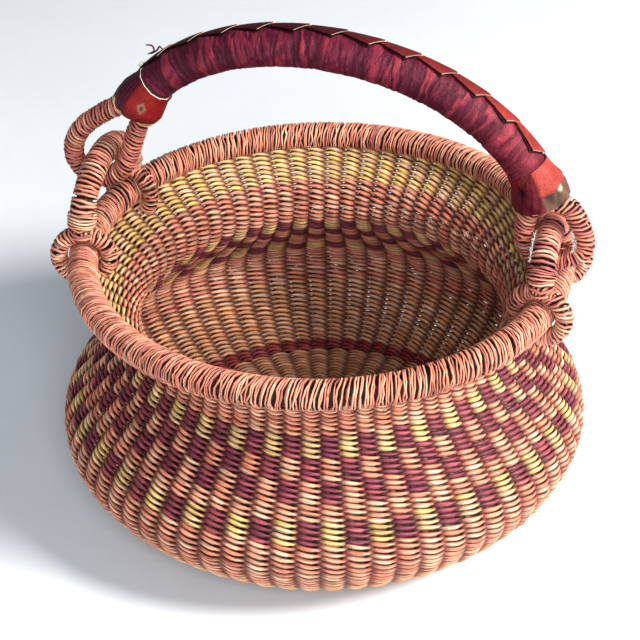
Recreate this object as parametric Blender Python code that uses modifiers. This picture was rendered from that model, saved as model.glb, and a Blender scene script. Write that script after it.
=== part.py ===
"""Grass egg basket: a twined pot-bellied basket with a whipped rim, two ears and a leather handle.

The frame has its origin under the middle of the base, +Z up, X through the two ears and -Y to the front.
Every length is in metres.
"""
import math

import bmesh
import bpy
import numpy as np
from mathutils import Matrix, Vector

# Woven wall, measured on the middle of its thickness
WALL_THICKNESS = 0.005
BASE_RADIUS = 0.0927
BELLY_RADIUS = 0.1335
BELLY_HEIGHT = 0.040
NECK_RADIUS = 0.0937
NECK_HEIGHT = 0.098
WALL_END_ANGLE = math.radians(55)
BASE_TURN_SHARE = 0.37
BELLY_TURN_SHARE = 0.40
SHOULDER_TURN_SHARE = 0.31
NECK_TURN_SHARE = 0.44
FLARE_TURN_SHARE = 0.44

# Rim, a whipped bundle of grass
RIM_RADIUS = 0.118
RIM_HEIGHT = 0.130
RIM_TUBE_RADIUS = 0.0076
WHIPPING_THICKNESS = 0.0013

# Rows of weft of one colour, from the rim down to the base
WEFT_BANDS = (
    ("top_yellow_weft", 7),
    ("neck_coral_weft", 9),
    ("shoulder_check_weft", 19),
    ("belly_coral_weft", 9),
    ("lower_natural_weft", 14),
    ("foot_red_weft", 3),
)

# Ears, whipped arches that stand on the rim and lean in over it
EAR_TUBE_RADIUS = 0.0066
LEFT_EAR_RISE = 0.0407
LEFT_EAR_HALF_ANGLE = math.radians(16.3)
LEFT_EAR_LEAN = 0.0055
RIGHT_EAR_RISE = 0.0285
RIGHT_EAR_HALF_ANGLE = math.radians(12.5)
RIGHT_EAR_LEAN = 0.0044
FOOT_LOOP_TUBE_RADIUS = 0.0045
FOOT_LOOP_CLEARANCE = 0.0005
SADDLE_CLEARANCE = 0.0008

# Handle arch, two quarter ellipses that meet at the apex, with spans as shares of the rim's radius
APEX_OFFSET = -0.0037
APEX_RISE = 0.1118
LEFT_ARCH_SPAN_SHARE = 0.805
LEFT_ARCH_DROP = 0.0656
LEFT_ARCH_TURN = math.radians(69.6)
RIGHT_ARCH_SPAN_SHARE = 0.9915
RIGHT_ARCH_DROP = 0.088
RIGHT_ARCH_TURN = math.radians(75.4)
HANDLE_RADIUS = 0.0096
LEATHER_THICKNESS = 0.0012

# Leather cuffs at the ends of the handle
CUFF_PLUG_LENGTH = 0.0095
CUFF_BEND = 0.0015
LEFT_CUFF_LENGTH = 0.018
LEFT_CUFF_END_RADIUS = 0.0122
LEFT_CUFF_TOP_RADIUS = 0.0112
RIGHT_CUFF_LENGTH = 0.0195
RIGHT_CUFF_END_RADIUS = 0.0132
RIGHT_CUFF_TOP_RADIUS = 0.0114
CUFF_DEPTH_SHARE = 0.95

# Whipped rings that hang from the cuffs and link through the ears
RING_TUBE_RADIUS = 0.0052
RING_LEG_SPACING = 0.0110
LEG_SOCKET_DEPTH = 0.006
LEFT_RING_WIDTH = 0.0275
LEFT_RING_INSET = 0.001
LEFT_RING_RISE = 0.025
RIGHT_RING_WIDTH = 0.028
RIGHT_RING_INSET = 0.002
RIGHT_RING_RISE = 0.0145
# Each pair is a share of the ring's length below the cuff and a share of its width, outward positive
LEFT_RING_SHARES = (
    (0.00, 0.22), (0.10, 0.30), (0.30, 0.50), (0.55, 0.675), (0.78, 0.675), (0.95, 0.48),
    (1.00, 0.12), (0.93, -0.14), (0.72, -0.31), (0.46, -0.275), (0.22, -0.20), (0.00, -0.20),
)
RIGHT_RING_SHARES = (
    (0.00, 0.25), (0.14, 0.455), (0.40, 0.56), (0.62, 0.60), (0.82, 0.57), (0.96, 0.38),
    (1.00, 0.08), (0.95, -0.22), (0.76, -0.405), (0.46, -0.41), (0.20, -0.30), (0.00, -0.20),
)

# Strands wound round the feet of the ears and round the left ring
STRAND_RADIUS = 0.0006
FOOT_TURNS = 2
FOOT_PITCH = 0.0034
FOOT_WINDING_HEIGHT = 0.0056
RING_TURNS = 3
RING_PITCH = 0.0019
RING_WINDING_START = 0.0035

# Laced seam along the outer side of the leather
LEAF_COUNT = 15
LEAF_LENGTH = 0.0148
LEAF_WIDTH = 0.0085
LEAF_THICKNESS = 0.0012
LEAF_LIFT = 0.0003
LEAF_CORNERS = 8
LEAF_TILT = math.radians(5.5)
LACING_CORD_RADIUS = 0.0013
SEAM_LEAN = math.radians(20)
SEAM_END_MARGIN = 0.006

# Thread tied round the leather above the left cuff
THREAD_RADIUS = 0.0006

# Play between neighbours
FIT_GAP = 0.0003

# How finely curves are drawn
WALL_FACETS = 56
WALL_RING_SPACING = 0.0125
TURN_POINTS = 24
ARCH_POINTS = 22
EAR_POINTS = 14
RING_STEPS = 2
LOOP_POINTS = 16
RIM_SECTION_POINTS = 9
CORE_SECTION_POINTS = 6
FAIR_SAMPLES = 200
MERGE_DISTANCE = 0.00001
# A tube of so many steps has twice as many sides plus four
FINE_TUBE_STEPS = 1
ROPE_TUBE_STEPS = 2
HANDLE_TUBE_STEPS = 4

WALL_COLOUR_YELLOW = (0.70, 0.52, 0.16, 1.0)
WALL_COLOUR_CORAL = (0.66, 0.27, 0.17, 1.0)
WALL_COLOUR_PLUM = (0.25, 0.06, 0.09, 1.0)
WALL_COLOUR_NATURAL = (0.52, 0.36, 0.20, 1.0)
WALL_COLOUR_RED = (0.30, 0.05, 0.05, 1.0)
WHIPPING_COLOUR = (0.68, 0.36, 0.25, 1.0)
GRASS_CORE_COLOUR = (0.55, 0.44, 0.24, 1.0)
LEATHER_COLOUR = (0.20, 0.03, 0.04, 1.0)
LACING_COLOUR = (0.34, 0.06, 0.04, 1.0)
LEFT_CUFF_COLOUR = (0.26, 0.04, 0.04, 1.0)
RIGHT_CUFF_COLOUR = (0.60, 0.16, 0.10, 1.0)
THREAD_COLOUR = (0.80, 0.72, 0.56, 1.0)
GRASS_ROUGHNESS = 0.75
LEATHER_ROUGHNESS = 0.45


def clear_scene():
    """Remove every object, so that the basket is alone in the file."""
    for item in list(bpy.data.objects):
        bpy.data.objects.remove(item, do_unlink=True)


def new_collection(name):
    """Make a collection in the scene."""
    group = bpy.data.collections.new(name)
    bpy.context.scene.collection.children.link(group)
    return group


def new_material(name, colour, roughness):
    """Make a plain material with one colour."""
    material = bpy.data.materials.new(name)
    material.use_nodes = True
    shader = material.node_tree.nodes["Principled BSDF"]
    shader.inputs["Base Color"].default_value = colour
    shader.inputs["Roughness"].default_value = roughness
    shader.inputs["Metallic"].default_value = 0.0
    return material


clear_scene()
PARTS = new_collection("grass_egg_basket")
CUTTERS = new_collection("cutters")


def add_object(name, data, material, collection=None):
    """Wrap mesh or curve data in an object with its material."""
    item = bpy.data.objects.new(name, data)
    (collection or PARTS).objects.link(item)
    if material:
        data.materials.append(material)
    return item


def hide_as_cutter(item):
    """Show a cutting body as wires and keep it out of the model."""
    item.hide_render = True
    item.display_type = 'WIRE'
    return item


def round_tube(name, points, radius, material, steps=ROPE_TUBE_STEPS, closed=False, capped=True,
               collection=None):
    """Carry a round section along the points."""
    curve = bpy.data.curves.new(name, 'CURVE')
    curve.dimensions = '3D'
    curve.bevel_depth = radius
    curve.bevel_resolution = steps
    curve.use_fill_caps = capped and not closed
    spline = curve.splines.new('POLY')
    spline.points.add(len(points) - 1)
    for target, point in zip(spline.points, points):
        target.co = (*point, 1.0)
    spline.use_cyclic_u = closed
    return add_object(name, curve, material, collection)


def as_mesh(item):
    """Turn a curve object into a closed mesh object of the same name and place."""
    name = item.name
    place = item.matrix_basis.copy()
    groups = list(item.users_collection)
    graph = bpy.context.evaluated_depsgraph_get()
    mesh = bpy.data.meshes.new_from_object(item.evaluated_get(graph))
    bpy.data.objects.remove(item, do_unlink=True)
    weld(mesh)
    solid = bpy.data.objects.new(name, mesh)
    solid.matrix_world = place
    for group in groups:
        group.objects.link(solid)
    return solid


def weld(mesh):
    """Join the vertices of a tube's caps to its wall."""
    work = bmesh.new()
    work.from_mesh(mesh)
    bmesh.ops.remove_doubles(work, verts=work.verts, dist=MERGE_DISTANCE)
    work.to_mesh(mesh)
    work.free()


def rope_sleeve(name, points, radius, wall, material, steps=ROPE_TUBE_STEPS):
    """Make an open round tube with a wall that grows inward."""
    tube = as_mesh(round_tube(name, points, radius, material, steps, capped=False))
    shell = tube.modifiers.new("wall", 'SOLIDIFY')
    shell.thickness = wall
    shell.offset = -1.0
    shell.use_even_offset = True
    tube.data.shade_smooth()
    return tube


def turned_ring(name, outline, material, steps=WALL_FACETS):
    """Turn a closed outline, given as radius and height, about the Z axis."""
    mesh = bpy.data.meshes.new(name)
    corners = [(radius, 0.0, height) for radius, height in outline]
    count = len(corners)
    mesh.from_pydata(corners, [(i, (i + 1) % count) for i in range(count)], [])
    ring = add_object(name, mesh, material)
    add_turn(ring, steps)
    return ring


def add_turn(item, steps):
    """Turn an outline through a whole circle about its own Z axis."""
    turn = item.modifiers.new("turn", 'SCREW')
    turn.axis = 'Z'
    turn.angle = math.tau
    turn.steps = steps
    turn.render_steps = steps
    turn.use_merge_vertices = True
    turn.merge_threshold = MERGE_DISTANCE
    turn.use_smooth_shade = True


def cut_away(item, cutter):
    """Take the cutting body out of a solid."""
    hide_as_cutter(cutter)
    cut = item.modifiers.new("clear " + cutter.name, 'BOOLEAN')
    cut.operation = 'DIFFERENCE'
    cut.solver = 'EXACT'
    cut.object = cutter


def carry(item, pivot):
    """Let a piece follow an empty without moving from its place."""
    bpy.context.view_layer.update()
    item.parent = pivot
    item.matrix_parent_inverse = pivot.matrix_world.inverted()


def bezier(start, start_pull, end_pull, end, samples):
    """Points of a cubic Bezier curve, without its last point."""
    share = np.linspace(0.0, 1.0, samples, endpoint=False)[:, None]
    rest = 1.0 - share
    return (rest**3 * start + 3.0 * rest**2 * share * start_pull
            + 3.0 * rest * share**2 * end_pull + share**3 * end)


def smooth_through(corners, steps):
    """A smooth line through hand-placed points, with a few steps between neighbours."""
    corners = np.array(corners, float)
    ends = np.vstack([2.0 * corners[0] - corners[1], corners, 2.0 * corners[-1] - corners[-2]])
    share = np.linspace(0.0, 1.0, steps, endpoint=False)[:, None]
    line = []
    for before, here, there, after in zip(ends[:-3], ends[1:-2], ends[2:-1], ends[3:]):
        slope_in = (there - before) / 2.0
        slope_out = (after - here) / 2.0
        rise = there - here
        line.append(here + slope_in * share + (3.0 * rise - 2.0 * slope_in - slope_out) * share**2
                    + (slope_in + slope_out - 2.0 * rise) * share**3)
    return np.vstack(line + [corners[-1:]])


def run_lengths(line):
    """Distance along a line to each of its points."""
    return np.concatenate([[0.0], np.cumsum(np.linalg.norm(np.diff(line, axis=0), axis=1))])


def points_at(line, distances):
    """Places on a line at the given distances from its start."""
    lengths = run_lengths(line)
    return np.stack([np.interp(distances, lengths, line[:, k]) for k in range(line.shape[1])], axis=1)


def drawn_out(line, extra):
    """The line with both of its ends made longer, straight on."""
    first = line[0] - line[1]
    last = line[-1] - line[-2]
    return np.vstack([
        line[:1] + first / np.linalg.norm(first) * extra,
        line[1:-1],
        line[-1:] + last / np.linalg.norm(last) * extra,
    ])


def directions(line):
    """Unit directions along a line at its points."""
    steps = np.gradient(line, axis=0)
    return steps / np.linalg.norm(steps, axis=1)[:, None]


def wall_line():
    """Middle line of the woven wall from the base to the rim, as radius and height."""
    floor = WALL_THICKNESS / 2.0
    base = np.array([BASE_RADIUS, floor])
    belly = np.array([BELLY_RADIUS, BELLY_HEIGHT])
    neck = np.array([NECK_RADIUS, NECK_HEIGHT])
    aim = np.array([math.cos(WALL_END_ANGLE), math.sin(WALL_END_ANGLE)])
    rim_inside = RIM_TUBE_RADIUS - WHIPPING_THICKNESS
    end = np.array([RIM_RADIUS, RIM_HEIGHT]) - aim * rim_inside
    across = np.array([1.0, 0.0])
    upward = np.array([0.0, 1.0])
    base_pull = base + across * (BELLY_RADIUS - BASE_RADIUS) * BASE_TURN_SHARE
    belly_below = belly - upward * (BELLY_HEIGHT - floor) * BELLY_TURN_SHARE
    shoulder = upward * (NECK_HEIGHT - BELLY_HEIGHT) * SHOULDER_TURN_SHARE
    flare = np.linalg.norm(end - neck)
    return np.vstack([
        bezier(base, base_pull, belly_below, belly, FAIR_SAMPLES),
        bezier(belly, belly + shoulder, neck - shoulder, neck, FAIR_SAMPLES),
        bezier(neck, neck + upward * flare * NECK_TURN_SHARE, end - aim * flare * FLARE_TURN_SHARE,
               end, FAIR_SAMPLES),
        end[None, :],
    ])


def weft_band(name, line, start, stop, material):
    """One colour of weft as a turned solid between two distances along the wall."""
    rings = max(2, math.ceil((stop - start) / WALL_RING_SPACING)) + 1
    distances = np.linspace(start, stop, rings)
    lengths = run_lengths(line)
    heading = directions(line)
    middle = points_at(line, distances)
    along = np.stack([np.interp(distances, lengths, heading[:, k]) for k in range(2)], axis=1)
    outward = np.stack([along[:, 1], -along[:, 0]], axis=1) * WALL_THICKNESS / 2.0
    outer = (middle + outward)[::-1]
    inner = middle - outward
    return turned_ring(name, np.vstack([outer, inner]), material)


def woven_wall(materials):
    """The bands of weft, shared out along the wall by their number of rows."""
    line = wall_line()
    length = run_lengths(line)[-1]
    rows = sum(count for _, count in WEFT_BANDS)
    stop = length
    bands = {}
    for name, count in WEFT_BANDS:
        start = stop - length * count / rows
        bands[name] = weft_band(name, line, start + FIT_GAP, stop, materials[name])
        stop = start
    return bands


def base_disc(material):
    """Flat woven start of the basket, which it stands on."""
    radius = BASE_RADIUS
    outline = [(0.0, WALL_THICKNESS), (radius, WALL_THICKNESS), (radius, 0.0), (0.0, 0.0)]
    mesh = bpy.data.meshes.new("base_disc")
    corners = [(x, 0.0, z) for x, z in outline]
    mesh.from_pydata(corners, [(i, i + 1) for i in range(len(corners) - 1)], [])
    disc = add_object("base_disc", mesh, material)
    add_turn(disc, WALL_FACETS)
    return disc


def core_radius(sleeve_radius, wall, sides):
    """Radius of a bundle that clears the flats inside its sleeve."""
    return (sleeve_radius - wall) * math.cos(math.pi / sides) - FIT_GAP


def tube_sides(steps):
    """Number of sides of a round tube."""
    return 2 * steps + 4


def rim_core(material):
    """Bundle of grass inside the rim."""
    radius = core_radius(RIM_TUBE_RADIUS, WHIPPING_THICKNESS, RIM_SECTION_POINTS)
    angles = np.linspace(0.0, -math.tau, CORE_SECTION_POINTS, endpoint=False)
    outline = np.stack([RIM_RADIUS + radius * np.cos(angles), RIM_HEIGHT + radius * np.sin(angles)], axis=1)
    return turned_ring("rim_core", outline, material)


def rim_whipping(material):
    """Sleeve of strand round the rim, open where the wall comes in from below."""
    outer = RIM_TUBE_RADIUS
    inner = RIM_TUBE_RADIUS - WHIPPING_THICKNESS
    slot = math.asin((WALL_THICKNESS / 2.0 + FIT_GAP) / (inner - FIT_GAP))
    foot = WALL_END_ANGLE + math.pi
    sweep = np.linspace(foot - slot, foot + slot - math.tau, RIM_SECTION_POINTS)
    centre = np.array([RIM_RADIUS, RIM_HEIGHT])
    spokes = np.stack([np.cos(sweep), np.sin(sweep)], axis=1)
    outline = np.vstack([centre + spokes * outer, centre + spokes[::-1] * inner])
    return turned_ring("rim_whipping", outline, material)


class Side:
    """The sizes of one side's ear, cuff and ring."""

    def __init__(self, name, sign):
        left = sign < 0
        self.name = name
        self.sign = sign
        self.ear_top = RIM_HEIGHT + (LEFT_EAR_RISE if left else RIGHT_EAR_RISE)
        self.half_angle = LEFT_EAR_HALF_ANGLE if left else RIGHT_EAR_HALF_ANGLE
        self.top_reach = RIM_RADIUS - (LEFT_EAR_LEAN if left else RIGHT_EAR_LEAN)
        self.apex_height = RIM_HEIGHT + APEX_RISE
        self.span = RIM_RADIUS * (LEFT_ARCH_SPAN_SHARE if left else RIGHT_ARCH_SPAN_SHARE)
        self.drop = LEFT_ARCH_DROP if left else RIGHT_ARCH_DROP
        self.turn = LEFT_ARCH_TURN if left else RIGHT_ARCH_TURN
        self.cuff_length = LEFT_CUFF_LENGTH if left else RIGHT_CUFF_LENGTH
        self.cuff_end = LEFT_CUFF_END_RADIUS if left else RIGHT_CUFF_END_RADIUS
        self.cuff_top = LEFT_CUFF_TOP_RADIUS if left else RIGHT_CUFF_TOP_RADIUS
        self.ring_width = LEFT_RING_WIDTH if left else RIGHT_RING_WIDTH
        inset = LEFT_RING_INSET if left else RIGHT_RING_INSET
        rise = LEFT_RING_RISE if left else RIGHT_RING_RISE
        self.ring_bottom = np.array([sign * (RIM_RADIUS - inset), RIM_HEIGHT + rise])
        self.ring_shares = LEFT_RING_SHARES if left else RIGHT_RING_SHARES

    def arch_point(self, turn):
        """Place on this side's quarter of the handle arch."""
        across = APEX_OFFSET + self.sign * self.span * np.sin(turn)
        height = self.apex_height - self.drop * (1.0 - np.cos(turn))
        return np.stack([across, 0.0 * turn, height], axis=-1)

    def arch_end(self):
        """Where the handle ends and the ring begins."""
        return self.arch_point(np.array(self.turn))

    def arch_heading(self):
        """Direction of the handle at its end, pointing away from it."""
        heading = np.array([self.sign * self.span * math.cos(self.turn), 0.0,
                            -self.drop * math.sin(self.turn)])
        return heading / np.linalg.norm(heading)

    def ring_line(self):
        """Middle line of the ring, out of the cuff, round the bottom and back into the cuff."""
        end = self.arch_end()[[0, 2]]
        reach = self.ring_bottom - end
        length = np.linalg.norm(reach)
        along = reach / length
        outward = self.sign * np.array([-along[1], along[0]])
        shape = [(share_down * length, share_out * self.ring_width)
                 for share_down, share_out in self.ring_shares]
        half = RING_LEG_SPACING / 2.0
        shape = [(-LEG_SOCKET_DEPTH, half)] + shape + [(-LEG_SOCKET_DEPTH, -half)]
        line = smooth_through(shape, RING_STEPS)
        flat = end + line[:, :1] * along + line[:, 1:] * outward
        return np.stack([flat[:, 0], 0.0 * flat[:, 0], flat[:, 1]], axis=1)

    def foot_height(self):
        """Height of the top of a foot loop's middle line."""
        return RIM_HEIGHT + FOOT_LOOP_RADIUS

    def ear_line(self, lift=0.0):
        """Middle line of the ear from one foot over the top to the other foot."""
        foot_x = RIM_RADIUS * math.cos(self.half_angle)
        foot_y = RIM_RADIUS * math.sin(self.half_angle)
        rise = self.ear_top - self.foot_height()
        start = math.asin(lift / rise)
        turn = np.linspace(start, math.pi - start, EAR_POINTS)
        across = self.sign * (foot_x + (self.top_reach - foot_x) * np.sin(turn))
        return np.stack([across, -foot_y * np.cos(turn), self.foot_height() + rise * np.sin(turn)], axis=1)


FOOT_LOOP_RADIUS = RIM_TUBE_RADIUS + FOOT_LOOP_CLEARANCE + FOOT_LOOP_TUBE_RADIUS
LEFT = Side("left", -1.0)
RIGHT = Side("right", 1.0)
SIDES = (LEFT, RIGHT)
FEET = (("front", -1.0), ("back", 1.0))


def foot_loop(name, side, way, tube_radius, material, collection=None):
    """Round loop in an upright plane that goes round the rim and through the wall under it."""
    azimuth = way * side.half_angle
    outward = np.array([side.sign * math.cos(azimuth), math.sin(azimuth), 0.0])
    upward = np.array([0.0, 0.0, 1.0])
    turn = np.linspace(0.0, math.tau, LOOP_POINTS, endpoint=False)[:, None]
    spokes = np.cos(turn) * upward + np.sin(turn) * outward
    loop = round_tube(name, spokes * FOOT_LOOP_RADIUS, tube_radius, material, closed=True,
                      collection=collection)
    loop.location = outward * RIM_RADIUS + upward * RIM_HEIGHT
    return loop


def winding(name, line, start, turns, pitch, carried_radius, material):
    """Strand wound round a rope that nowhere runs along Y: a helix that follows its middle line."""
    count = turns * TURN_POINTS + 1
    lengths = run_lengths(line)
    distances = start + np.linspace(0.0, turns * pitch, count)
    middle = points_at(line, distances)
    heading = directions(line)
    along = np.stack([np.interp(distances, lengths, heading[:, k]) for k in range(3)], axis=1)
    along /= np.linalg.norm(along, axis=1)[:, None]
    upright = np.cross(along, np.array([0.0, 1.0, 0.0]))
    upright /= np.linalg.norm(upright, axis=1)[:, None]
    sideways = np.cross(along, upright)
    radius = (carried_radius + FIT_GAP + STRAND_RADIUS) / math.cos(math.pi / TURN_POINTS)
    turn = np.linspace(0.0, turns * math.tau, count)[:, None]
    points = middle + radius * (np.cos(turn) * upright + np.sin(turn) * sideways)
    gaps = np.linalg.norm(points[TURN_POINTS:] - points[:-TURN_POINTS], axis=1) - 2.0 * STRAND_RADIUS
    print(name, "least gap between turns in mm:", round(1000.0 * float(gaps.min()), 2))
    return round_tube(name, points, STRAND_RADIUS, material, FINE_TUBE_STEPS)


def ear(side, materials, wall_band):
    """Core, whipping, foot loops and foot windings of one ear."""
    line = side.ear_line()
    whipping = rope_sleeve(side.name + "_ear_whipping", line, EAR_TUBE_RADIUS, WHIPPING_THICKNESS,
                           materials["whipping"])
    core_lift = FOOT_LOOP_TUBE_RADIUS + SADDLE_CLEARANCE
    round_tube(side.name + "_ear_core", side.ear_line(core_lift),
               core_radius(EAR_TUBE_RADIUS, WHIPPING_THICKNESS, tube_sides(ROPE_TUBE_STEPS)),
               materials["grass_core"], FINE_TUBE_STEPS)
    for foot, way in FEET:
        label = side.name + "_" + foot + "_foot"
        foot_loop(label + "_loop", side, way, FOOT_LOOP_TUBE_RADIUS, materials["whipping"])
        clearance = as_mesh(foot_loop(label + "_hole", side, way, FOOT_LOOP_TUBE_RADIUS + FIT_GAP,
                                      None, CUTTERS))
        cut_away(wall_band, clearance)
        saddle = as_mesh(foot_loop(label + "_saddle", side, way,
                                   FOOT_LOOP_TUBE_RADIUS + SADDLE_CLEARANCE, None, CUTTERS))
        cut_away(whipping, saddle)
        leg = line if way < 0 else line[::-1]
        winding(label + "_binding", leg, FOOT_WINDING_HEIGHT, FOOT_TURNS, FOOT_PITCH, EAR_TUBE_RADIUS,
                materials["binding"])


def handle_line(trim):
    """Middle line of the handle, ending short of both arch ends by the trim."""
    left = LEFT.arch_point(np.linspace(LEFT.turn, 0.0, FAIR_SAMPLES, endpoint=False))
    right = RIGHT.arch_point(np.linspace(0.0, RIGHT.turn, FAIR_SAMPLES))
    line = np.vstack([left, right])
    length = run_lengths(line)[-1]
    return points_at(line, np.linspace(trim, length - trim, ARCH_POINTS))


def cuff(side, material):
    """Leather cuff: a flared turned solid round the end of the handle and the ring's legs."""
    outline = [
        (0.0, side.cuff_length),
        (side.cuff_top - CUFF_BEND, side.cuff_length),
        (side.cuff_top, side.cuff_length - CUFF_BEND),
        (side.cuff_end, CUFF_BEND),
        (side.cuff_end - CUFF_BEND, 0.0),
        (0.0, 0.0),
    ]
    name = side.name + "_cuff"
    mesh = bpy.data.meshes.new(name)
    corners = [(radius, 0.0, height) for radius, height in outline]
    mesh.from_pydata(corners, [(i, i + 1) for i in range(len(corners) - 1)], [])
    blank = add_object(name, mesh, material)
    add_turn(blank, TURN_POINTS)
    solid = as_mesh(blank)
    solid.data.transform(Matrix.Diagonal((1.0, CUFF_DEPTH_SHARE, 1.0, 1.0)))
    upward = -Vector(side.arch_heading())
    across = Vector((0.0, 1.0, 0.0)).cross(upward)
    turn = Matrix((across, Vector((0.0, 1.0, 0.0)), upward)).transposed()
    solid.matrix_world = Matrix.Translation(Vector(side.arch_end())) @ turn.to_4x4()
    return solid


def handle(materials, pivot):
    """Core, leather, lacing, cuffs and rings, all carried by the pivot."""
    line = handle_line(CUFF_PLUG_LENGTH)
    pieces = [
        round_tube("handle_core", line,
                   core_radius(HANDLE_RADIUS, LEATHER_THICKNESS, tube_sides(HANDLE_TUBE_STEPS)),
                   materials["grass_core"], FINE_TUBE_STEPS),
        rope_sleeve("handle_leather", line, HANDLE_RADIUS, LEATHER_THICKNESS, materials["leather"],
                    HANDLE_TUBE_STEPS),
        seam_lacing(materials["lacing"]),
        cuff_thread(materials["thread"]),
    ]
    for side in SIDES:
        sleeve = cuff(side, materials[side.name + "_cuff"])
        ring = side.ring_line()
        bore = as_mesh(round_tube(side.name + "_cuff_bore", drawn_out(line, FIT_GAP),
                                  HANDLE_RADIUS + FIT_GAP, None, HANDLE_TUBE_STEPS, collection=CUTTERS))
        sockets = as_mesh(round_tube(side.name + "_leg_sockets", drawn_out(ring, FIT_GAP),
                                     RING_TUBE_RADIUS + FIT_GAP, None, collection=CUTTERS))
        cut_away(sleeve, bore)
        cut_away(sleeve, sockets)
        pieces += [
            sleeve,
            rope_sleeve(side.name + "_ring_whipping", ring, RING_TUBE_RADIUS, WHIPPING_THICKNESS,
                        materials["whipping"]),
            round_tube(side.name + "_ring_core", ring,
                       core_radius(RING_TUBE_RADIUS, WHIPPING_THICKNESS, tube_sides(ROPE_TUBE_STEPS)),
                       materials["grass_core"], FINE_TUBE_STEPS),
        ]
    inner_leg = LEFT.ring_line()[::-1]
    pieces.append(winding("left_ring_binding", inner_leg, LEG_SOCKET_DEPTH + RING_WINDING_START,
                          RING_TURNS, RING_PITCH, RING_TUBE_RADIUS, materials["binding"]))
    for piece in pieces:
        carry(piece, pivot)


def leaf_mesh():
    """Flat leaf with pointed ends, as thick as the folded leather."""
    turn = np.linspace(0.0, math.tau, LEAF_CORNERS, endpoint=False)
    curve = bpy.data.curves.new("lacing_leaf", 'CURVE')
    curve.dimensions = '2D'
    curve.fill_mode = 'BOTH'
    curve.extrude = LEAF_THICKNESS / 2.0
    spline = curve.splines.new('POLY')
    spline.points.add(LEAF_CORNERS - 1)
    for target, angle in zip(spline.points, turn):
        along = LEAF_LENGTH / 2.0 * math.cos(angle)
        across = LEAF_WIDTH / 2.0 * math.sin(angle)
        target.co = (along, across, 0.0, 1.0)
    spline.use_cyclic_u = True
    item = as_mesh(add_object("lacing_leaf", curve, None, CUTTERS))
    mesh = item.data
    bpy.data.objects.remove(item, do_unlink=True)
    return mesh


def seam_line():
    """Middle line of the lacing cord and the outward direction at each of its points."""
    line = handle_line(max(LEFT_CUFF_LENGTH, RIGHT_CUFF_LENGTH) + SEAM_END_MARGIN)
    forward = directions(line)
    outward = np.stack([-forward[:, 2], 0.0 * forward[:, 1], forward[:, 0]], axis=1)
    back = np.array([0.0, 1.0, 0.0])
    outward = outward * math.cos(SEAM_LEAN) + back * math.sin(SEAM_LEAN)
    seat = HANDLE_RADIUS + FIT_GAP + LACING_CORD_RADIUS
    return line + outward * seat, forward, outward


def seam_lacing(material):
    """Cord along the outer side of the handle, with overlapping leather leaves laced over it."""
    line, forward, outward = seam_line()
    lengths = run_lengths(line)
    places = (np.arange(LEAF_COUNT) + 0.5) * lengths[-1] / LEAF_COUNT
    cord = as_mesh(round_tube("seam_lacing", line, LACING_CORD_RADIUS, material, FINE_TUBE_STEPS))
    leaf = leaf_mesh()
    work = bmesh.new()
    for place in places:
        centre, along, away = (Vector([float(np.interp(place, lengths, field[:, k])) for k in range(3)])
                               for field in (line, forward, outward))
        along.normalize()
        across = away.cross(along).normalized()
        frame = Matrix((along, across, along.cross(across))).transposed().to_4x4()
        rise = LACING_CORD_RADIUS + LEAF_LIFT
        copy = leaf.copy()
        copy.transform(Matrix.Translation(centre + away * rise) @ frame @ Matrix.Rotation(LEAF_TILT, 4, 'Y'))
        work.from_mesh(copy)
        bpy.data.meshes.remove(copy)
    mesh = bpy.data.meshes.new("lacing_leaves")
    work.to_mesh(mesh)
    work.free()
    leaves = hide_as_cutter(add_object("lacing_leaves", mesh, None, CUTTERS))
    join = cord.modifiers.new("leaves", 'BOOLEAN')
    join.operation = 'UNION'
    join.solver = 'EXACT'
    join.object = leaves
    return cord


def cuff_thread(material):
    """Thin thread tied once round the leather, just above the left cuff."""
    outward = -LEFT.arch_heading()
    radius = (HANDLE_RADIUS + FIT_GAP + THREAD_RADIUS) / math.cos(math.pi / TURN_POINTS)
    line = handle_line(0.0)
    place = points_at(line, np.array([LEFT_CUFF_LENGTH + THREAD_RADIUS + FIT_GAP + FIT_GAP]))[0]
    turn = np.linspace(0.0, math.tau, TURN_POINTS, endpoint=False)[:, None]
    front = np.array([0.0, 1.0, 0.0])
    over = np.cross(front, outward)
    thread = round_tube("cuff_thread", radius * (np.cos(turn) * over + np.sin(turn) * front),
                        THREAD_RADIUS, material, FINE_TUBE_STEPS, closed=True)
    thread.location = place
    return thread


def swing_pivot():
    """Empty on the swing axis, which runs through the bottoms of both rings."""
    left = Vector((LEFT.ring_bottom[0], 0.0, LEFT.ring_bottom[1]))
    right = Vector((RIGHT.ring_bottom[0], 0.0, RIGHT.ring_bottom[1]))
    pivot = bpy.data.objects.new("handle_pivot", None)
    PARTS.objects.link(pivot)
    pivot.location = (left + right) / 2.0
    pivot.rotation_euler = (right - left).to_track_quat('X', 'Z').to_euler()
    bpy.context.view_layer.update()
    return pivot


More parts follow.
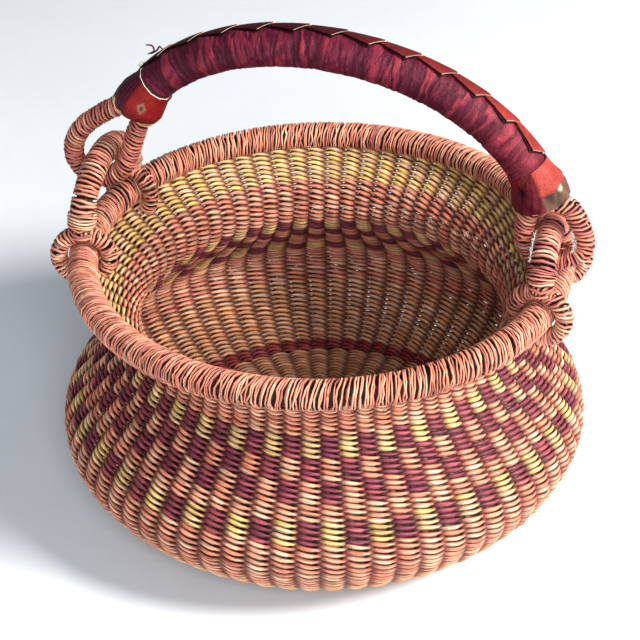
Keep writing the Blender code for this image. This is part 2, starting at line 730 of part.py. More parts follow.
def make_materials():
    """One material for each kind of strand and leather."""
    return {
        "top_yellow_weft": new_material("yellow grass", WALL_COLOUR_YELLOW, GRASS_ROUGHNESS),
        "neck_coral_weft": new_material("coral grass at the neck", WALL_COLOUR_CORAL, GRASS_ROUGHNESS),
        "shoulder_check_weft": new_material("plum grass", WALL_COLOUR_PLUM, GRASS_ROUGHNESS),
        "belly_coral_weft": new_material("coral grass at the belly", WALL_COLOUR_CORAL, GRASS_ROUGHNESS),
        "lower_natural_weft": new_material("natural grass", WALL_COLOUR_NATURAL, GRASS_ROUGHNESS),
        "foot_red_weft": new_material("dark red grass", WALL_COLOUR_RED, GRASS_ROUGHNESS),
        "base": new_material("natural grass at the base", WALL_COLOUR_NATURAL, GRASS_ROUGHNESS),
        "whipping": new_material("coral whipping", WHIPPING_COLOUR, GRASS_ROUGHNESS),
        "binding": new_material("peach binding", WALL_COLOUR_YELLOW, GRASS_ROUGHNESS),
        "grass_core": new_material("bundled grass", GRASS_CORE_COLOUR, GRASS_ROUGHNESS),
        "leather": new_material("maroon leather", LEATHER_COLOUR, LEATHER_ROUGHNESS),
        "lacing": new_material("red lacing leather", LACING_COLOUR, LEATHER_ROUGHNESS),
        "left_cuff": new_material("dark red leather", LEFT_CUFF_COLOUR, LEATHER_ROUGHNESS),
        "right_cuff": new_material("salmon leather", RIGHT_CUFF_COLOUR, LEATHER_ROUGHNESS),
        "thread": new_material("cream thread", THREAD_COLOUR, GRASS_ROUGHNESS),
    }


def main():
    """Build the basket, then the handle on its pivot."""
    materials = make_materials()
    base_disc(materials["base"])
    bands = woven_wall(materials)
    rim_core(materials["grass_core"])
    rim_whipping(materials["whipping"])
    for side in SIDES:
        ear(side, materials, bands["top_yellow_weft"])
    handle(materials, swing_pivot())


main()
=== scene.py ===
"""Grass egg basket: the looks of a twined grass basket, put round its packed solid model.

Every length is in metres, in the solid model's frame: the origin is under the middle of the base,
+Z is up, X runs through the two ears and -Y is the front.
"""
import math

import bpy
import numpy as np
from bpy.props import FloatProperty, FloatVectorProperty, IntProperty, PointerProperty
from mathutils import Matrix, Vector


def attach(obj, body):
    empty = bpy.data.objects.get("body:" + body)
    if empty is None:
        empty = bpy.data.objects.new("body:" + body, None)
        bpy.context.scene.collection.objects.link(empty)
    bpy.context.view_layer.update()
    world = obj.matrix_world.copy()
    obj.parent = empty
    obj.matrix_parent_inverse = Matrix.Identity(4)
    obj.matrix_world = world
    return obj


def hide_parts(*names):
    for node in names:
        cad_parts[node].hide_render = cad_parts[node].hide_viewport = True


bl_info = {
    "name": "Grass egg basket",
    "version": (1, 0, 0),
    "blender": (4, 5, 0),
    "location": "3D View > Sidebar > Basket",
    "description": "Weaves, whips and dresses a twined grass egg basket",
    "category": "Object",
}

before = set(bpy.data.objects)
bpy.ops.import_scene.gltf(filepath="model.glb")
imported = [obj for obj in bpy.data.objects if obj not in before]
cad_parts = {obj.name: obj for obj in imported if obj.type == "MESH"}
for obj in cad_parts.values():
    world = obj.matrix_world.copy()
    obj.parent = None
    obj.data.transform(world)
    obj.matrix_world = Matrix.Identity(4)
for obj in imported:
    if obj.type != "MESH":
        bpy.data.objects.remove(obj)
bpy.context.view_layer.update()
BASKET = "basket"
HANDLE = "handle"

# Wall, as in the solid model
WALL_THICKNESS = 0.005
BASE_RADIUS = 0.0927
BELLY_RADIUS = 0.1335
BELLY_HEIGHT = 0.040
NECK_RADIUS = 0.0937
NECK_HEIGHT = 0.098
WALL_END_ANGLE = math.radians(55)
BASE_TURN_SHARE = 0.37
BELLY_TURN_SHARE = 0.40
SHOULDER_TURN_SHARE = 0.31
NECK_TURN_SHARE = 0.44
FLARE_TURN_SHARE = 0.44
RIM_RADIUS = 0.118
RIM_HEIGHT = 0.130
RIM_TUBE_RADIUS = 0.0076
WHIPPING_THICKNESS = 0.0013
FAIR_SAMPLES = 200

# Ears, foot loops, handle and rings, as in the solid model
EAR_TUBE_RADIUS = 0.0066
FOOT_LOOP_TUBE_RADIUS = 0.0045
FOOT_LOOP_CLEARANCE = 0.0005
FOOT_LOOP_RADIUS = RIM_TUBE_RADIUS + FOOT_LOOP_CLEARANCE + FOOT_LOOP_TUBE_RADIUS
HANDLE_RADIUS = 0.0096
APEX_OFFSET = -0.0037
APEX_RISE = 0.1118
APEX_HEIGHT = RIM_HEIGHT + APEX_RISE
CUFF_PLUG_LENGTH = 0.0095
CUFF_DEPTH_SHARE = 0.95
RING_TUBE_RADIUS = 0.0052
RING_LEG_SPACING = 0.0110
LEG_SOCKET_DEPTH = 0.006
LACING_CORD_RADIUS = 0.0013
SEAM_LEAN = math.radians(20)
SIDE_SIZES = {
    "left": {
        "sign": -1.0, "ear_rise": 0.0407, "half_angle": math.radians(16.3), "ear_lean": 0.0055,
        "span_share": 0.805, "drop": 0.0656, "turn": math.radians(69.6), "cuff_length": 0.018,
        "cuff_end": 0.0122, "cuff_top": 0.0112, "ring_width": 0.0275, "ring_inset": 0.001,
        "ring_rise": 0.025, "cuff_bulge": 0.0002,
        "ring_shares": (
            (0.00, 0.22), (0.10, 0.30), (0.30, 0.50), (0.55, 0.675), (0.78, 0.675), (0.95, 0.48),
            (1.00, 0.12), (0.93, -0.14), (0.72, -0.31), (0.46, -0.275), (0.22, -0.20), (0.00, -0.20),
        ),
    },
    "right": {
        "sign": 1.0, "ear_rise": 0.0285, "half_angle": math.radians(12.5), "ear_lean": 0.0044,
        "span_share": 0.9915, "drop": 0.088, "turn": math.radians(75.4), "cuff_length": 0.0195,
        "cuff_end": 0.0132, "cuff_top": 0.0114, "ring_width": 0.028, "ring_inset": 0.002,
        "ring_rise": 0.0145, "cuff_bulge": 0.0003,
        "ring_shares": (
            (0.00, 0.25), (0.14, 0.455), (0.40, 0.56), (0.62, 0.60), (0.82, 0.57), (0.96, 0.38),
            (1.00, 0.08), (0.95, -0.22), (0.76, -0.405), (0.46, -0.41), (0.20, -0.30), (0.00, -0.20),
        ),
    },
}
FEET = (("front", -1.0), ("back", 1.0))

# Rows of weft from the rim down: the band's name, and for each of its rows the dyes of its two strands
WEFT_BANDS = (
    ("top_yellow_weft", [("yellow", "yellow")] * 7),
    ("neck_coral_weft", [("coral", "coral")] * 9),
    ("shoulder_check_weft", [("yellow", "plum")] * 4 + [("plum", "coral")] * 4
     + [("coral", "plum")] * 4 + [("coral", "coral")] * 3 + [("plum", "yellow")] * 4),
    ("belly_coral_weft", [("coral", "coral")] * 9),
    ("lower_natural_weft", [("natural", "natural")] * 14),
    ("foot_red_weft", [("dark_red", "dark_red")] * 3),
)
ROW_COUNT = sum(len(rows) for _, rows in WEFT_BANDS)
BASE_START_RADIUS = 0.0010
# Rings of the base share their count of stakes: how far out each count starts and ends, as a share
# of the base's radius, and the count as a share of the wall's
BASE_STAKE_SHARES = ((0.00, 0.16, 0.12), (0.16, 0.34, 0.24), (0.34, 0.62, 0.44), (0.62, 1.00, 0.72))

SLOTS = {
    "base_disc": "natural_grass",
    "top_yellow_weft": "yellow_grass",
    "neck_coral_weft": "coral_grass",
    "shoulder_check_weft": "plum_grass",
    "belly_coral_weft": "coral_grass",
    "lower_natural_weft": "natural_grass",
    "foot_red_weft": "dark_red_grass",
    "rim_whipping": "coral_whipping",
    "handle_leather": "maroon_leather",
    "seam_lacing": "red_lacing_leather",
    "cuff_thread": "cream_thread",
    "left_cuff": "dark_red_leather",
    "right_cuff": "salmon_leather",
    "left_ring_binding": "peach_binding",
}
for side_name in SIDE_SIZES:
    for part_name in ("ear_whipping", "ring_whipping", "front_foot_loop", "back_foot_loop"):
        SLOTS[side_name + "_" + part_name] = "coral_whipping"
    for part_name in ("front_foot_binding", "back_foot_binding"):
        SLOTS[side_name + "_" + part_name] = "peach_binding"

# Weave
STITCH_POINTS = 6
CROSSING_SHARE = 0.58
FULLNESS_CURVE = 0.48
TIP_LAG = 0.6
FACING_GAIN = 1.9
STITCH_SIZE_SPREAD = 0.06
TINT_SPREAD = 0.11
DYE_COMPANIONS = {
    "yellow": "peach", "coral": "peach", "plum": "rose", "natural": "peach", "dark_red": "rose",
}
WOBBLE_ORDERS = 6
WAVE_DRIFT = 0.10
STAKE_STEP = 0.006
STAKE_SHADE_SHARE = 0.16
STRAND_PATTERN_STEP = 0.37
SHADE_CURVE = 0.34
SHADE_POWERS = np.array((1.0, 1.30, 1.22))
GRASS_SHADE_SHARE = 0.98
CROSSING_SHADE_SHARE = 0.46
INNER_SHADE_SHARE = 0.15
WALL_TURN_SHARE = 0.85
GRASS_ROUGHNESS = 0.5
GRASS_SHEEN = 0.35

# Whipping
TURN_POINTS = 12
PLY_CLOSENESS = 0.86
TURN_UNEVENNESS = 0.16
POINT_UNEVENNESS = 0.13
POINT_SIZE_SPREAD = 0.15
MEAN_DYE_SHARE = 0.4
RIM_LEAN_SHARE = -2.0
TURN_LIFT = 0.0001
WHIP_START_SHARE = 0.31
WHIP_FULLNESS = 0.80
RIM_SAMPLES = 720
RING_STEPS = 12
RIM_STRAND_THICKNESS = 0.0017
EAR_STRAND_THICKNESS = 0.0015
BINDING_THICKNESS = 0.0008
FOOT_BINDING_START = 0.0045
FOOT_BINDING_LENGTH = 0.0068
RING_BINDING_START = 0.0006
RING_BINDING_LENGTH = 0.0040
WHIPPING_DYE_SHARES = {"coral": 0.40, "salmon": 0.34, "peach": 0.14, "rose": 0.12}
RING_DYE_SHARES = {"coral": 0.44, "salmon": 0.16, "peach": 0.04, "rose": 0.36}
BINDING_DYE_SHARES = {"peach": 0.65, "salmon": 0.25, "yellow": 0.1}
MOUTH_DYE_SHARES = {"yellow": 0.45, "peach": 0.30, "coral": 0.25}

# Leather and thread
SKIN_RINGS = 460
SKIN_SIDES = 56
SKIN_PATCH = 0.0085
SKIN_WANDER = 0.0013
FINE_CREASE_SHARE = 0.35
FINE_SPACING_SHARE = 0.42
PLATE_COUNT = 12
PLATE_END_MARGIN = 0.0012
PLATE_RINGS = 40
PLATE_SIDES = 16
PLATE_SPACING = 0.6
PLATE_LENGTH_SHARE = 1.30
PLATE_SHOULDER = 0.72
PLATE_SEAT = 0.0007
PLATE_RISE = 0.0007
PLATE_UNEVENNESS = 0.0003
PLATE_RIGHT_WIDENING = 1.25
UNDER_WIDENING = 0.00025
SEAM_SHADE_SHARE = 0.12
EDGE_START = 0.975
EDGE_SINE = 0.95
CUFF_LEATHER = 0.0012
CUFF_MOUTH_DEPTH = 0.0022
CUFF_STEPS = 7
CUFF_SIDES = 144
CUFF_FOLD = 0.0005
CUFF_RIPPLE = 0.003
THREAD_RADIUS = 0.00025
KNOT_SCALE = 3.0
THREAD_TURNS = 1
KNOT_TURN = math.radians(-15)
# Steps along, sideways and outward from the knot, as shares of the thread's radius
KNOT_SHARES = (
    ((-2.0, -1.5, 0.0), (-0.5, 1.5, 1.6), (1.8, 0.6, 1.2), (0.8, -1.6, 1.6), (-1.2, -0.4, 2.4)),
    ((2.0, -1.0, 0.0), (0.4, 1.8, 1.0), (-1.6, 0.8, 1.8), (-0.6, -1.6, 2.2), (1.4, 0.2, 2.6)),
)
# Loose ends of the lace at the seam's left end, through places beside the handle
LACE_ENDS = (
    ((-0.0905, -0.001, 0.2150), (-0.0880, 0.001, 0.2205), (-0.0850, 0.003, 0.2240), (-0.0815, 0.002, 0.2262)),
    ((-0.0900, -0.003, 0.2165), (-0.0865, -0.003, 0.2205), (-0.0842, -0.001, 0.2222), (-0.0810, 0.000, 0.2240)),
    ((-0.0862, 0.004, 0.2265), (-0.0830, 0.004, 0.2285), (-0.0838, 0.004, 0.2312), (-0.0869, 0.004, 0.2313)),
    ((-0.0850, 0.005, 0.2262), (-0.0815, 0.004, 0.2290), (-0.0800, 0.004, 0.2312), (-0.0785, 0.004, 0.2300)),
)
LACE_END_RADIUS = 0.0005
FRAY_RADIUS = 0.0002
FRAY_RINGS = 4
FRAY_SAMPLES = 60
FRAY_COUNT = 150
# The ring swings close past the ear, so the ear's fibres are the shorter ones
EAR_FRAY_LENGTH = 0.0014
RING_FRAY_LENGTH = 0.0022
FRAY_ROOT = 0.0004
EAR_FRAY_SHARES = (0.20, 0.48)
EAR_FRAY_WAY = (-1.0, -0.45, 0.35)
RING_FRAY_SHARES = (0.24, 0.40)
RING_FRAY_WAY = (-1.0, -0.8, 0.3)

# Stage
CAMERA_PLACE = (0.2309, -0.7593, 0.6413)
CAMERA_TARGET = (-0.00115, -0.00035, 0.0887)
CAMERA_ROLL = math.radians(-1.2)
SENSOR_WIDTH = 36.0
KEY_PLACE = (1.25, -0.15, 1.05)
KEY_SIZE = 0.55
KEY_COLOUR = (1.0, 0.97, 0.92)
FILL_PLACE = (0.45, -1.35, 0.95)
FILL_SIZE = 1.0
FILL_COLOUR = (0.92, 0.96, 1.0)
SKY_COLOUR = (0.86, 0.93, 1.0, 1.0)
FLOOR_HALF = 4.0

# Starting points of the random values
WALL_SEED, BASE_SEED, STAKE_SEED, RIM_SEED, EAR_SEED, RING_SEED = range(11, 17)
SKIN_SEED, SEAM_SEED, CUFF_SEED, THREAD_SEED, FRAY_SEED = range(21, 26)


def unit(vectors):
    """Vectors brought to length one along the last axis."""
    return vectors / np.linalg.norm(vectors, axis=-1, keepdims=True)


def run_lengths(line):
    """Distance along a line to each of its points."""
    return np.concatenate([[0.0], np.cumsum(np.linalg.norm(np.diff(line, axis=0), axis=1))])


def points_at(line, distances):
    """Places on a line at the given distances from its start, for distances of any shape."""
    lengths = run_lengths(line)
    return np.stack([np.interp(distances, lengths, line[:, k]) for k in range(line.shape[1])], axis=-1)


def directions(line):
    """Unit directions along a line at its points."""
    return unit(np.gradient(line, axis=0))


def directions_at(line, distances):
    """Unit directions of a line at the given distances from its start."""
    lengths = run_lengths(line)
    heading = directions(line)
    return unit(np.stack([np.interp(distances, lengths, heading[:, k]) for k in range(line.shape[1])],
                         axis=-1))


def bezier(start, start_pull, end_pull, end, samples):
    """Points of a cubic Bezier curve, without its last point."""
    share = np.linspace(0.0, 1.0, samples, endpoint=False)[:, None]
    rest = 1.0 - share
    return (rest**3 * start + 3.0 * rest**2 * share * start_pull
            + 3.0 * rest * share**2 * end_pull + share**3 * end)


def smooth_through(corners, steps):
    """A Catmull-Rom line: cubic steps through the corners, each with its neighbours' mean slope."""
    corners = np.array(corners, float)
    ends = np.vstack([2.0 * corners[0] - corners[1], corners, 2.0 * corners[-1] - corners[-2]])
    share = np.linspace(0.0, 1.0, steps, endpoint=False)[:, None]
    line = []
    for before, here, there, after in zip(ends[:-3], ends[1:-2], ends[2:-1], ends[3:]):
        slope_in = (there - before) / 2.0
        slope_out = (after - here) / 2.0
        rise = there - here
        line.append(here + slope_in * share + (3.0 * rise - 2.0 * slope_in - slope_out) * share**2
                    + (slope_in + slope_out - 2.0 * rise) * share**3)
    return np.vstack(line + [corners[-1:]])


def slow_waves(rng, turns, rows, highest):
    """Slow random values round a circle, from -1 to 1, that change little from row to row.

    They are a sum of sines round the circle, each with a random size and a random shift that drifts
    steadily from one row to the next.
    """
    order = np.arange(1, highest + 1)[:, None, None]
    size = rng.normal(0.0, 1.0, (highest, 1, 1)) / np.sqrt(order)
    shift = rng.uniform(0.0, math.tau, (highest, 1, 1))
    drift = rng.normal(0.0, WAVE_DRIFT, (highest, 1, 1))
    row = np.arange(rows)[None, :, None]
    total = np.sum(size * np.sin(order * turns[None, None, :] + shift + drift * row), axis=0)
    return np.tanh(total / math.sqrt(highest))


def rough_steps(rng, places, spacing, seeds=256):
    """Smooth random values along a line, from -1 to 1: random knots that lie evenly spaced, eased."""
    knots = rng.uniform(-1.0, 1.0, seeds)
    position = np.asarray(places) / spacing
    before = np.floor(position).astype(int)
    share = position - before
    ease = share * share * (3.0 - 2.0 * share)
    return knots[before % seeds] * (1.0 - ease) + knots[(before + 1) % seeds] * ease


def wall_line():
    """Middle line of the wall as radius and height: a straight base, then three Bezier curves."""
    floor = WALL_THICKNESS / 2.0
    centre = np.array([BASE_START_RADIUS, floor])
    base = np.array([BASE_RADIUS, floor])
    belly = np.array([BELLY_RADIUS, BELLY_HEIGHT])
    neck = np.array([NECK_RADIUS, NECK_HEIGHT])
    aim = np.array([math.cos(WALL_END_ANGLE), math.sin(WALL_END_ANGLE)])
    end = np.array([RIM_RADIUS, RIM_HEIGHT]) - aim * (RIM_TUBE_RADIUS - WHIPPING_THICKNESS)
    across = np.array([1.0, 0.0])
    upward = np.array([0.0, 1.0])
    base_pull = base + across * (BELLY_RADIUS - BASE_RADIUS) * BASE_TURN_SHARE
    belly_below = belly - upward * (BELLY_HEIGHT - floor) * BELLY_TURN_SHARE
    shoulder = upward * (NECK_HEIGHT - BELLY_HEIGHT) * SHOULDER_TURN_SHARE
    flare = np.linalg.norm(end - neck)
    return np.vstack([
        np.linspace(centre, base, FAIR_SAMPLES, endpoint=False),
        bezier(base, base_pull, belly_below, belly, FAIR_SAMPLES),
        bezier(belly, belly + shoulder, neck - shoulder, neck, FAIR_SAMPLES),
        bezier(neck, neck + upward * flare * NECK_TURN_SHARE, end - aim * flare * FLARE_TURN_SHARE,
               end, FAIR_SAMPLES),
        end[None, :],
    ])


WALL_LINE = wall_line()
BASE_RUN = BASE_RADIUS - BASE_START_RADIUS
WALL_RUN = run_lengths(WALL_LINE)[-1]
ROW_SPACING = (WALL_RUN - BASE_RUN) / ROW_COUNT


class Side:
    """The lines of one side's ear, cuff and ring, from the same sizes as in the solid model."""

    def __init__(self, name):
        self.name = name
        for key, value in SIDE_SIZES[name].items():
            setattr(self, key, value)
        self.span = RIM_RADIUS * self.span_share
        self.ring_bottom = np.array([self.sign * (RIM_RADIUS - self.ring_inset),
                                     RIM_HEIGHT + self.ring_rise])

    def arch_point(self, turn):
        """Place on this side's quarter ellipse of the handle arch."""
        across = APEX_OFFSET + self.sign * self.span * np.sin(turn)
        height = APEX_HEIGHT - self.drop * (1.0 - np.cos(turn))
        return np.stack([across, 0.0 * turn, height], axis=-1)

    def arch_end(self):
        """Where the handle ends and the ring begins."""
        return self.arch_point(np.array(self.turn))

    def arch_heading(self):
        """Direction of the handle at its end, pointing away from it."""
        return unit(np.array([self.sign * self.span * math.cos(self.turn), 0.0,
                              -self.drop * math.sin(self.turn)]))

    def ring_line(self, steps):
        """Middle line of the ring: out of the cuff, round the bottom and back into the cuff."""
        end = self.arch_end()[[0, 2]]
        reach = self.ring_bottom - end
        length = np.linalg.norm(reach)
        along = reach / length
        outward = self.sign * np.array([-along[1], along[0]])
        shape = [(down * length, out * self.ring_width) for down, out in self.ring_shares]
        half = RING_LEG_SPACING / 2.0
        shape = [(-LEG_SOCKET_DEPTH, half)] + shape + [(-LEG_SOCKET_DEPTH, -half)]
        line = smooth_through(shape, steps)
        flat = end + line[:, :1] * along + line[:, 1:] * outward
        return np.stack([flat[:, 0], 0.0 * flat[:, 0], flat[:, 1]], axis=1)

    def ear_line(self, samples):
        """Middle line of the ear: a leaning half ellipse from the front foot to the back foot."""
        foot_x = RIM_RADIUS * math.cos(self.half_angle)
        foot_y = RIM_RADIUS * math.sin(self.half_angle)
        foot_z = RIM_HEIGHT + FOOT_LOOP_RADIUS
        rise = RIM_HEIGHT + self.ear_rise - foot_z
        lean = RIM_RADIUS - self.ear_lean - foot_x
        turn = np.linspace(0.0, math.pi, samples)
        across = self.sign * (foot_x + lean * np.sin(turn))
        return np.stack([across, -foot_y * np.cos(turn), foot_z + rise * np.sin(turn)], axis=1)

    def ear_normal(self):
        """Direction square to the plane that the ear's middle line lies in."""
        rise = RIM_HEIGHT + self.ear_rise - RIM_HEIGHT - FOOT_LOOP_RADIUS
        lean = self.sign * (RIM_RADIUS - self.ear_lean - RIM_RADIUS * math.cos(self.half_angle))
        return unit(np.array([rise, 0.0, -lean]))

    def foot_frame(self, way):
        """Centre of a foot loop's circle and the direction from the basket's axis to it."""
        azimuth = way * self.half_angle
        outward = np.array([self.sign * math.cos(azimuth), math.sin(azimuth), 0.0])
        return outward * RIM_RADIUS + np.array([0.0, 0.0, RIM_HEIGHT]), outward


LEFT = Side("left")
RIGHT = Side("right")
SIDES = (LEFT, RIGHT)


def handle_line(trim, samples):
    """Middle line of the handle, evenly spaced, ending short of both arch ends by the trim."""
    left = LEFT.arch_point(np.linspace(LEFT.turn, 0.0, FAIR_SAMPLES, endpoint=False))
    right = RIGHT.arch_point(np.linspace(0.0, RIGHT.turn, FAIR_SAMPLES))
    line = np.vstack([left, right])
    length = run_lengths(line)[-1]
    return points_at(line, np.linspace(trim, length - trim, samples))


def circle(centre, radius, first, second, samples):
    """Closed circle: the centre plus the radius times cosine of the first and sine of the second."""
    turn = np.linspace(0.0, math.tau, samples + 1)[:, None]
    return centre + radius * (np.cos(turn) * first + np.sin(turn) * second)


# Meshes

def tube_faces(tubes, along, around, closed):
    """Quads of a batch of tubes whose vertices are numbered tube by tube and ring by ring."""
    rings = along if closed else along - 1
    tube, ring, spoke = np.meshgrid(np.arange(tubes), np.arange(rings), np.arange(around), indexing="ij")
    base = tube * along * around
    here = base + ring * around
    there = base + (ring + 1) % along * around
    after = (spoke + 1) % around
    return np.stack([here + spoke, here + after, there + after, there + spoke], axis=-1).reshape(-1, 4)


def cap_faces(tubes, along, around):
    """End polygons of a batch of open tubes, wound so that both look outward."""
    first = np.arange(tubes)[:, None] * along * around + np.arange(around)[None, ::-1]
    last = np.arange(1, tubes + 1)[:, None] * along * around - around + np.arange(around)[None, :]
    return np.vstack([first, last])


class Sheet:
    """Whole arrays of one closed surface: places, quads, end caps, dyes and fibre places."""

    def __init__(self, places, quads, caps, dyes, fibres):
        self.places = places
        self.quads = quads
        self.caps = caps
        self.dyes = dyes
        self.fibres = fibres


def joined(sheets):
    """Several sheets put after one another as one."""
    starts = np.cumsum([0] + [len(sheet.places) for sheet in sheets[:-1]])
    capped = [(sheet, start) for sheet, start in zip(sheets, starts) if len(sheet.caps)]
    caps = [sheet.caps + start for sheet, start in capped]
    return Sheet(
        np.vstack([sheet.places for sheet in sheets]),
        np.vstack([sheet.quads + start for sheet, start in zip(sheets, starts)]),
        [corners for group in caps for corners in group],
        np.vstack([sheet.dyes for sheet in sheets]),
        np.vstack([sheet.fibres for sheet in sheets]),
    )


def new_mesh(name, sheet):
    """Put whole arrays of vertices, faces and their colours and fibre places into a mesh."""
    mesh = bpy.data.meshes.new(name)
    cap_sizes = np.array([len(corners) for corners in sheet.caps], int)
    cap_corners = np.concatenate([np.zeros(0, int)] + [np.asarray(corners) for corners in sheet.caps])
    corners = np.concatenate([sheet.quads.ravel(), cap_corners]).astype(np.int32)
    cap_starts = sheet.quads.size + np.concatenate([[0], np.cumsum(cap_sizes)])[:len(cap_sizes)]
    starts = np.concatenate([np.arange(len(sheet.quads)) * 4, cap_starts]).astype(np.int32)
    mesh.vertices.add(len(sheet.places))
    mesh.vertices.foreach_set("co", sheet.places.astype(np.float32).ravel())
    mesh.loops.add(len(corners))
    mesh.loops.foreach_set("vertex_index", corners)
    mesh.polygons.add(len(starts))
    mesh.polygons.foreach_set("loop_start", starts)
    dye = mesh.attributes.new("dye", 'FLOAT_COLOR', 'POINT')
    opaque = np.concatenate([sheet.dyes, np.ones((len(sheet.dyes), 1))], axis=1)
    dye.data.foreach_set("color", opaque.astype(np.float32).ravel())
    fibre = mesh.attributes.new("fibre", 'FLOAT_VECTOR', 'POINT')
    fibre.data.foreach_set("vector", sheet.fibres.astype(np.float32).ravel())
    mesh.update(calc_edges=True)
    mesh.shade_smooth()
    return mesh


def add_piece(name, sheets, material, body, replaced):
    """Link sheets to the scene as one object that rides on a body and stands for solid nodes."""
    item = bpy.data.objects.new(name, new_mesh(name, joined(sheets)))
    item.data.materials.append(material)
    bpy.context.scene.collection.objects.link(item)
    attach(item, body)
    if replaced:
        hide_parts(*replaced)
    return item


def strand_sheet(path, outward, half_thick, half_wide, dyes, sides=6, closed=False, arch=0.0, shade=0.0,
                 facing=1.0):
    """Batches of strands: oval sections, cosine steps outward and sine steps sideways, along paths.

    The path, outward, sizes and dyes each hold a value for each tube and each point along it. The
    arch bends a section down at its sides by the square of the sideways step over twice the arch.
    The shade darkens a strand from its open side, where its colour is the dye's, to its covered side;
    it faces outward, inward or, where the strands cross, neither way, as the facing goes from 1 to -1.
    A fibre place is the distance along the strand and the two steps across it, so that a pattern on
    them runs with the strand and has no seam round it.
    """
    path, outward = np.broadcast_arrays(path, outward)
    tubes, along = path.shape[:2]
    if closed:
        step = (np.roll(path, -1, axis=1) - np.roll(path, 1, axis=1)) / 2.0
    else:
        step = np.gradient(path, axis=1)
    size = np.linalg.norm(step, axis=-1, keepdims=True)
    heading = step / size
    lift = unit(outward - np.sum(outward * heading, axis=-1, keepdims=True) * heading)
    beside = np.cross(heading, lift)
    turn = np.linspace(0.0, math.tau, sides, endpoint=False)
    up = np.broadcast_to(half_thick, (tubes, along))[..., None] * np.cos(turn)
    across = np.broadcast_to(half_wide, (tubes, along))[..., None] * np.sin(turn)
    if arch:
        up = up - across**2 / (2.0 * arch)
    places = path[:, :, None] + up[..., None] * lift[:, :, None] + across[..., None] * beside[:, :, None]
    travelled = np.cumsum(size[..., 0], axis=1)[..., None] + 0.0 * up
    fibres = np.stack([travelled, up, across], axis=-1)
    fibres[..., 0] += (np.arange(tubes) * STRAND_PATTERN_STEP)[:, None, None]
    facing = np.broadcast_to(facing, (tubes, along))[..., None]
    light = 1.0 - shade * (0.5 - 0.5 * facing * np.cos(turn))**SHADE_CURVE
    dyes = np.asarray(dyes)
    dyes = np.broadcast_to(dyes if dyes.ndim == 4 else dyes[:, :, None, :], places.shape)
    colours = dyes * light[..., None]**SHADE_POWERS
    caps = [] if closed else cap_faces(tubes, along, sides)
    return Sheet(places.reshape(-1, 3), tube_faces(tubes, along, sides, closed), caps,
                 colours.reshape(-1, 3), fibres.reshape(-1, 3))


def tinted(rng, dye, companion, shape, spread):
    """Random colours between a dye and its companion, each made a little lighter or darker."""
    share = rng.beta(1.0, 1.9, shape)[..., None]
    light = np.exp(rng.normal(0.0, spread, shape))[..., None]
    return (np.asarray(dye) * (1.0 - share) + np.asarray(companion) * share) * light


# Twined weave

def twined_rows(rng, distances, stakes, row_dyes, dyes, weave):
    """Rows of twining: in each row two strands go round the wall and twist between the stakes.

    With u the place round the wall counted in stakes, a strand's step out of the wall's middle is the
    swing times cos(pi u + pi k - d) for strand k = 0 or 1, so one strand lies in front of each stake
    and the other behind it, and its step along the wall is minus the slant times sin(pi u + pi k). The
    lag d lays each stitch's tip over the start of the next one. A strand is widest where it lies on a
    stake and narrow where the strands cross. Each stitch has its own tint.
    """
    rows = len(distances)
    count = stakes * STITCH_POINTS
    place = np.arange(count) / STITCH_POINTS
    turns = math.tau * (place + WALL_TURN_SHARE) / stakes
    waves = slow_waves(rng, turns, rows, WOBBLE_ORDERS)
    bulges = slow_waves(rng, turns, rows, WOBBLE_ORDERS)
    twist = math.pi * (place[None, None, :] + np.arange(2)[None, :, None]) + np.zeros((rows, 1, 1))
    uneven = rng.normal(0.0, 1.0, (3, rows, 2, stakes))
    stitch = np.floor(place + 0.5).astype(int) % stakes
    on_stake = np.abs(np.cos(twist))
    side_shown = np.cos(twist - TIP_LAG)
    shifts = uneven[0][..., stitch] * weave.unevenness * on_stake
    along = (distances[:, None, None] + waves[:, None] * weave.wobble - weave.slant * np.sin(twist) + shifts)
    step_out = (weave.swing * side_shown + bulges[:, None] * weave.wobble
                + uneven[1][..., stitch] * weave.unevenness * on_stake)
    middle = points_at(WALL_LINE, along)
    heading = directions_at(WALL_LINE, along)
    normal = np.stack([heading[..., 1], -heading[..., 0]], axis=-1)
    spot = middle + normal * step_out[..., None]
    spot[..., 1] = np.maximum(spot[..., 1], weave.strand_thickness / 2.0)
    spin = np.stack([np.cos(turns), np.sin(turns)], axis=-1)
    path = np.concatenate([spot[..., :1] * spin, spot[..., 1:]], axis=-1)
    outward = np.concatenate([normal[..., :1] * spin, normal[..., 1:]], axis=-1)
    fullness = CROSSING_SHARE + (1.0 - CROSSING_SHARE) * on_stake**FULLNESS_CURVE
    size = fullness * (1.0 + uneven[2][..., stitch] * STITCH_SIZE_SPREAD)
    colours = np.empty((rows, 2, stakes, 3))
    for row, pair in enumerate(row_dyes):
        for strand, dye in enumerate(pair):
            colours[row, strand] = tinted(rng, dyes[dye], dyes[DYE_COMPANIONS[dye]], stakes, TINT_SPREAD)
    # Painted shade: strands darken where they cross between the stakes and where they lie on the wall's inner side
    shown = (1.0 - CROSSING_SHADE_SHARE * (1.0 - np.abs(side_shown))**2)[..., None]
    inner = (1.0 - INNER_SHADE_SHARE * np.clip(-side_shown, 0.0, 1.0))[..., None]
    colours = colours[:, :, stitch] * (shown * inner)**SHADE_POWERS
    tubes = rows * 2
    return strand_sheet(path.reshape(tubes, count, 3), outward.reshape(tubes, count, 3),
                        weave.strand_thickness / 2.0,
                        weave.strand_height / 2.0 * size.reshape(tubes, count),
                        colours.reshape(tubes, count, 3), closed=True, shade=GRASS_SHADE_SHARE,
                        facing=np.clip(side_shown * FACING_GAIN, -1.0, 1.0).reshape(tubes, count))


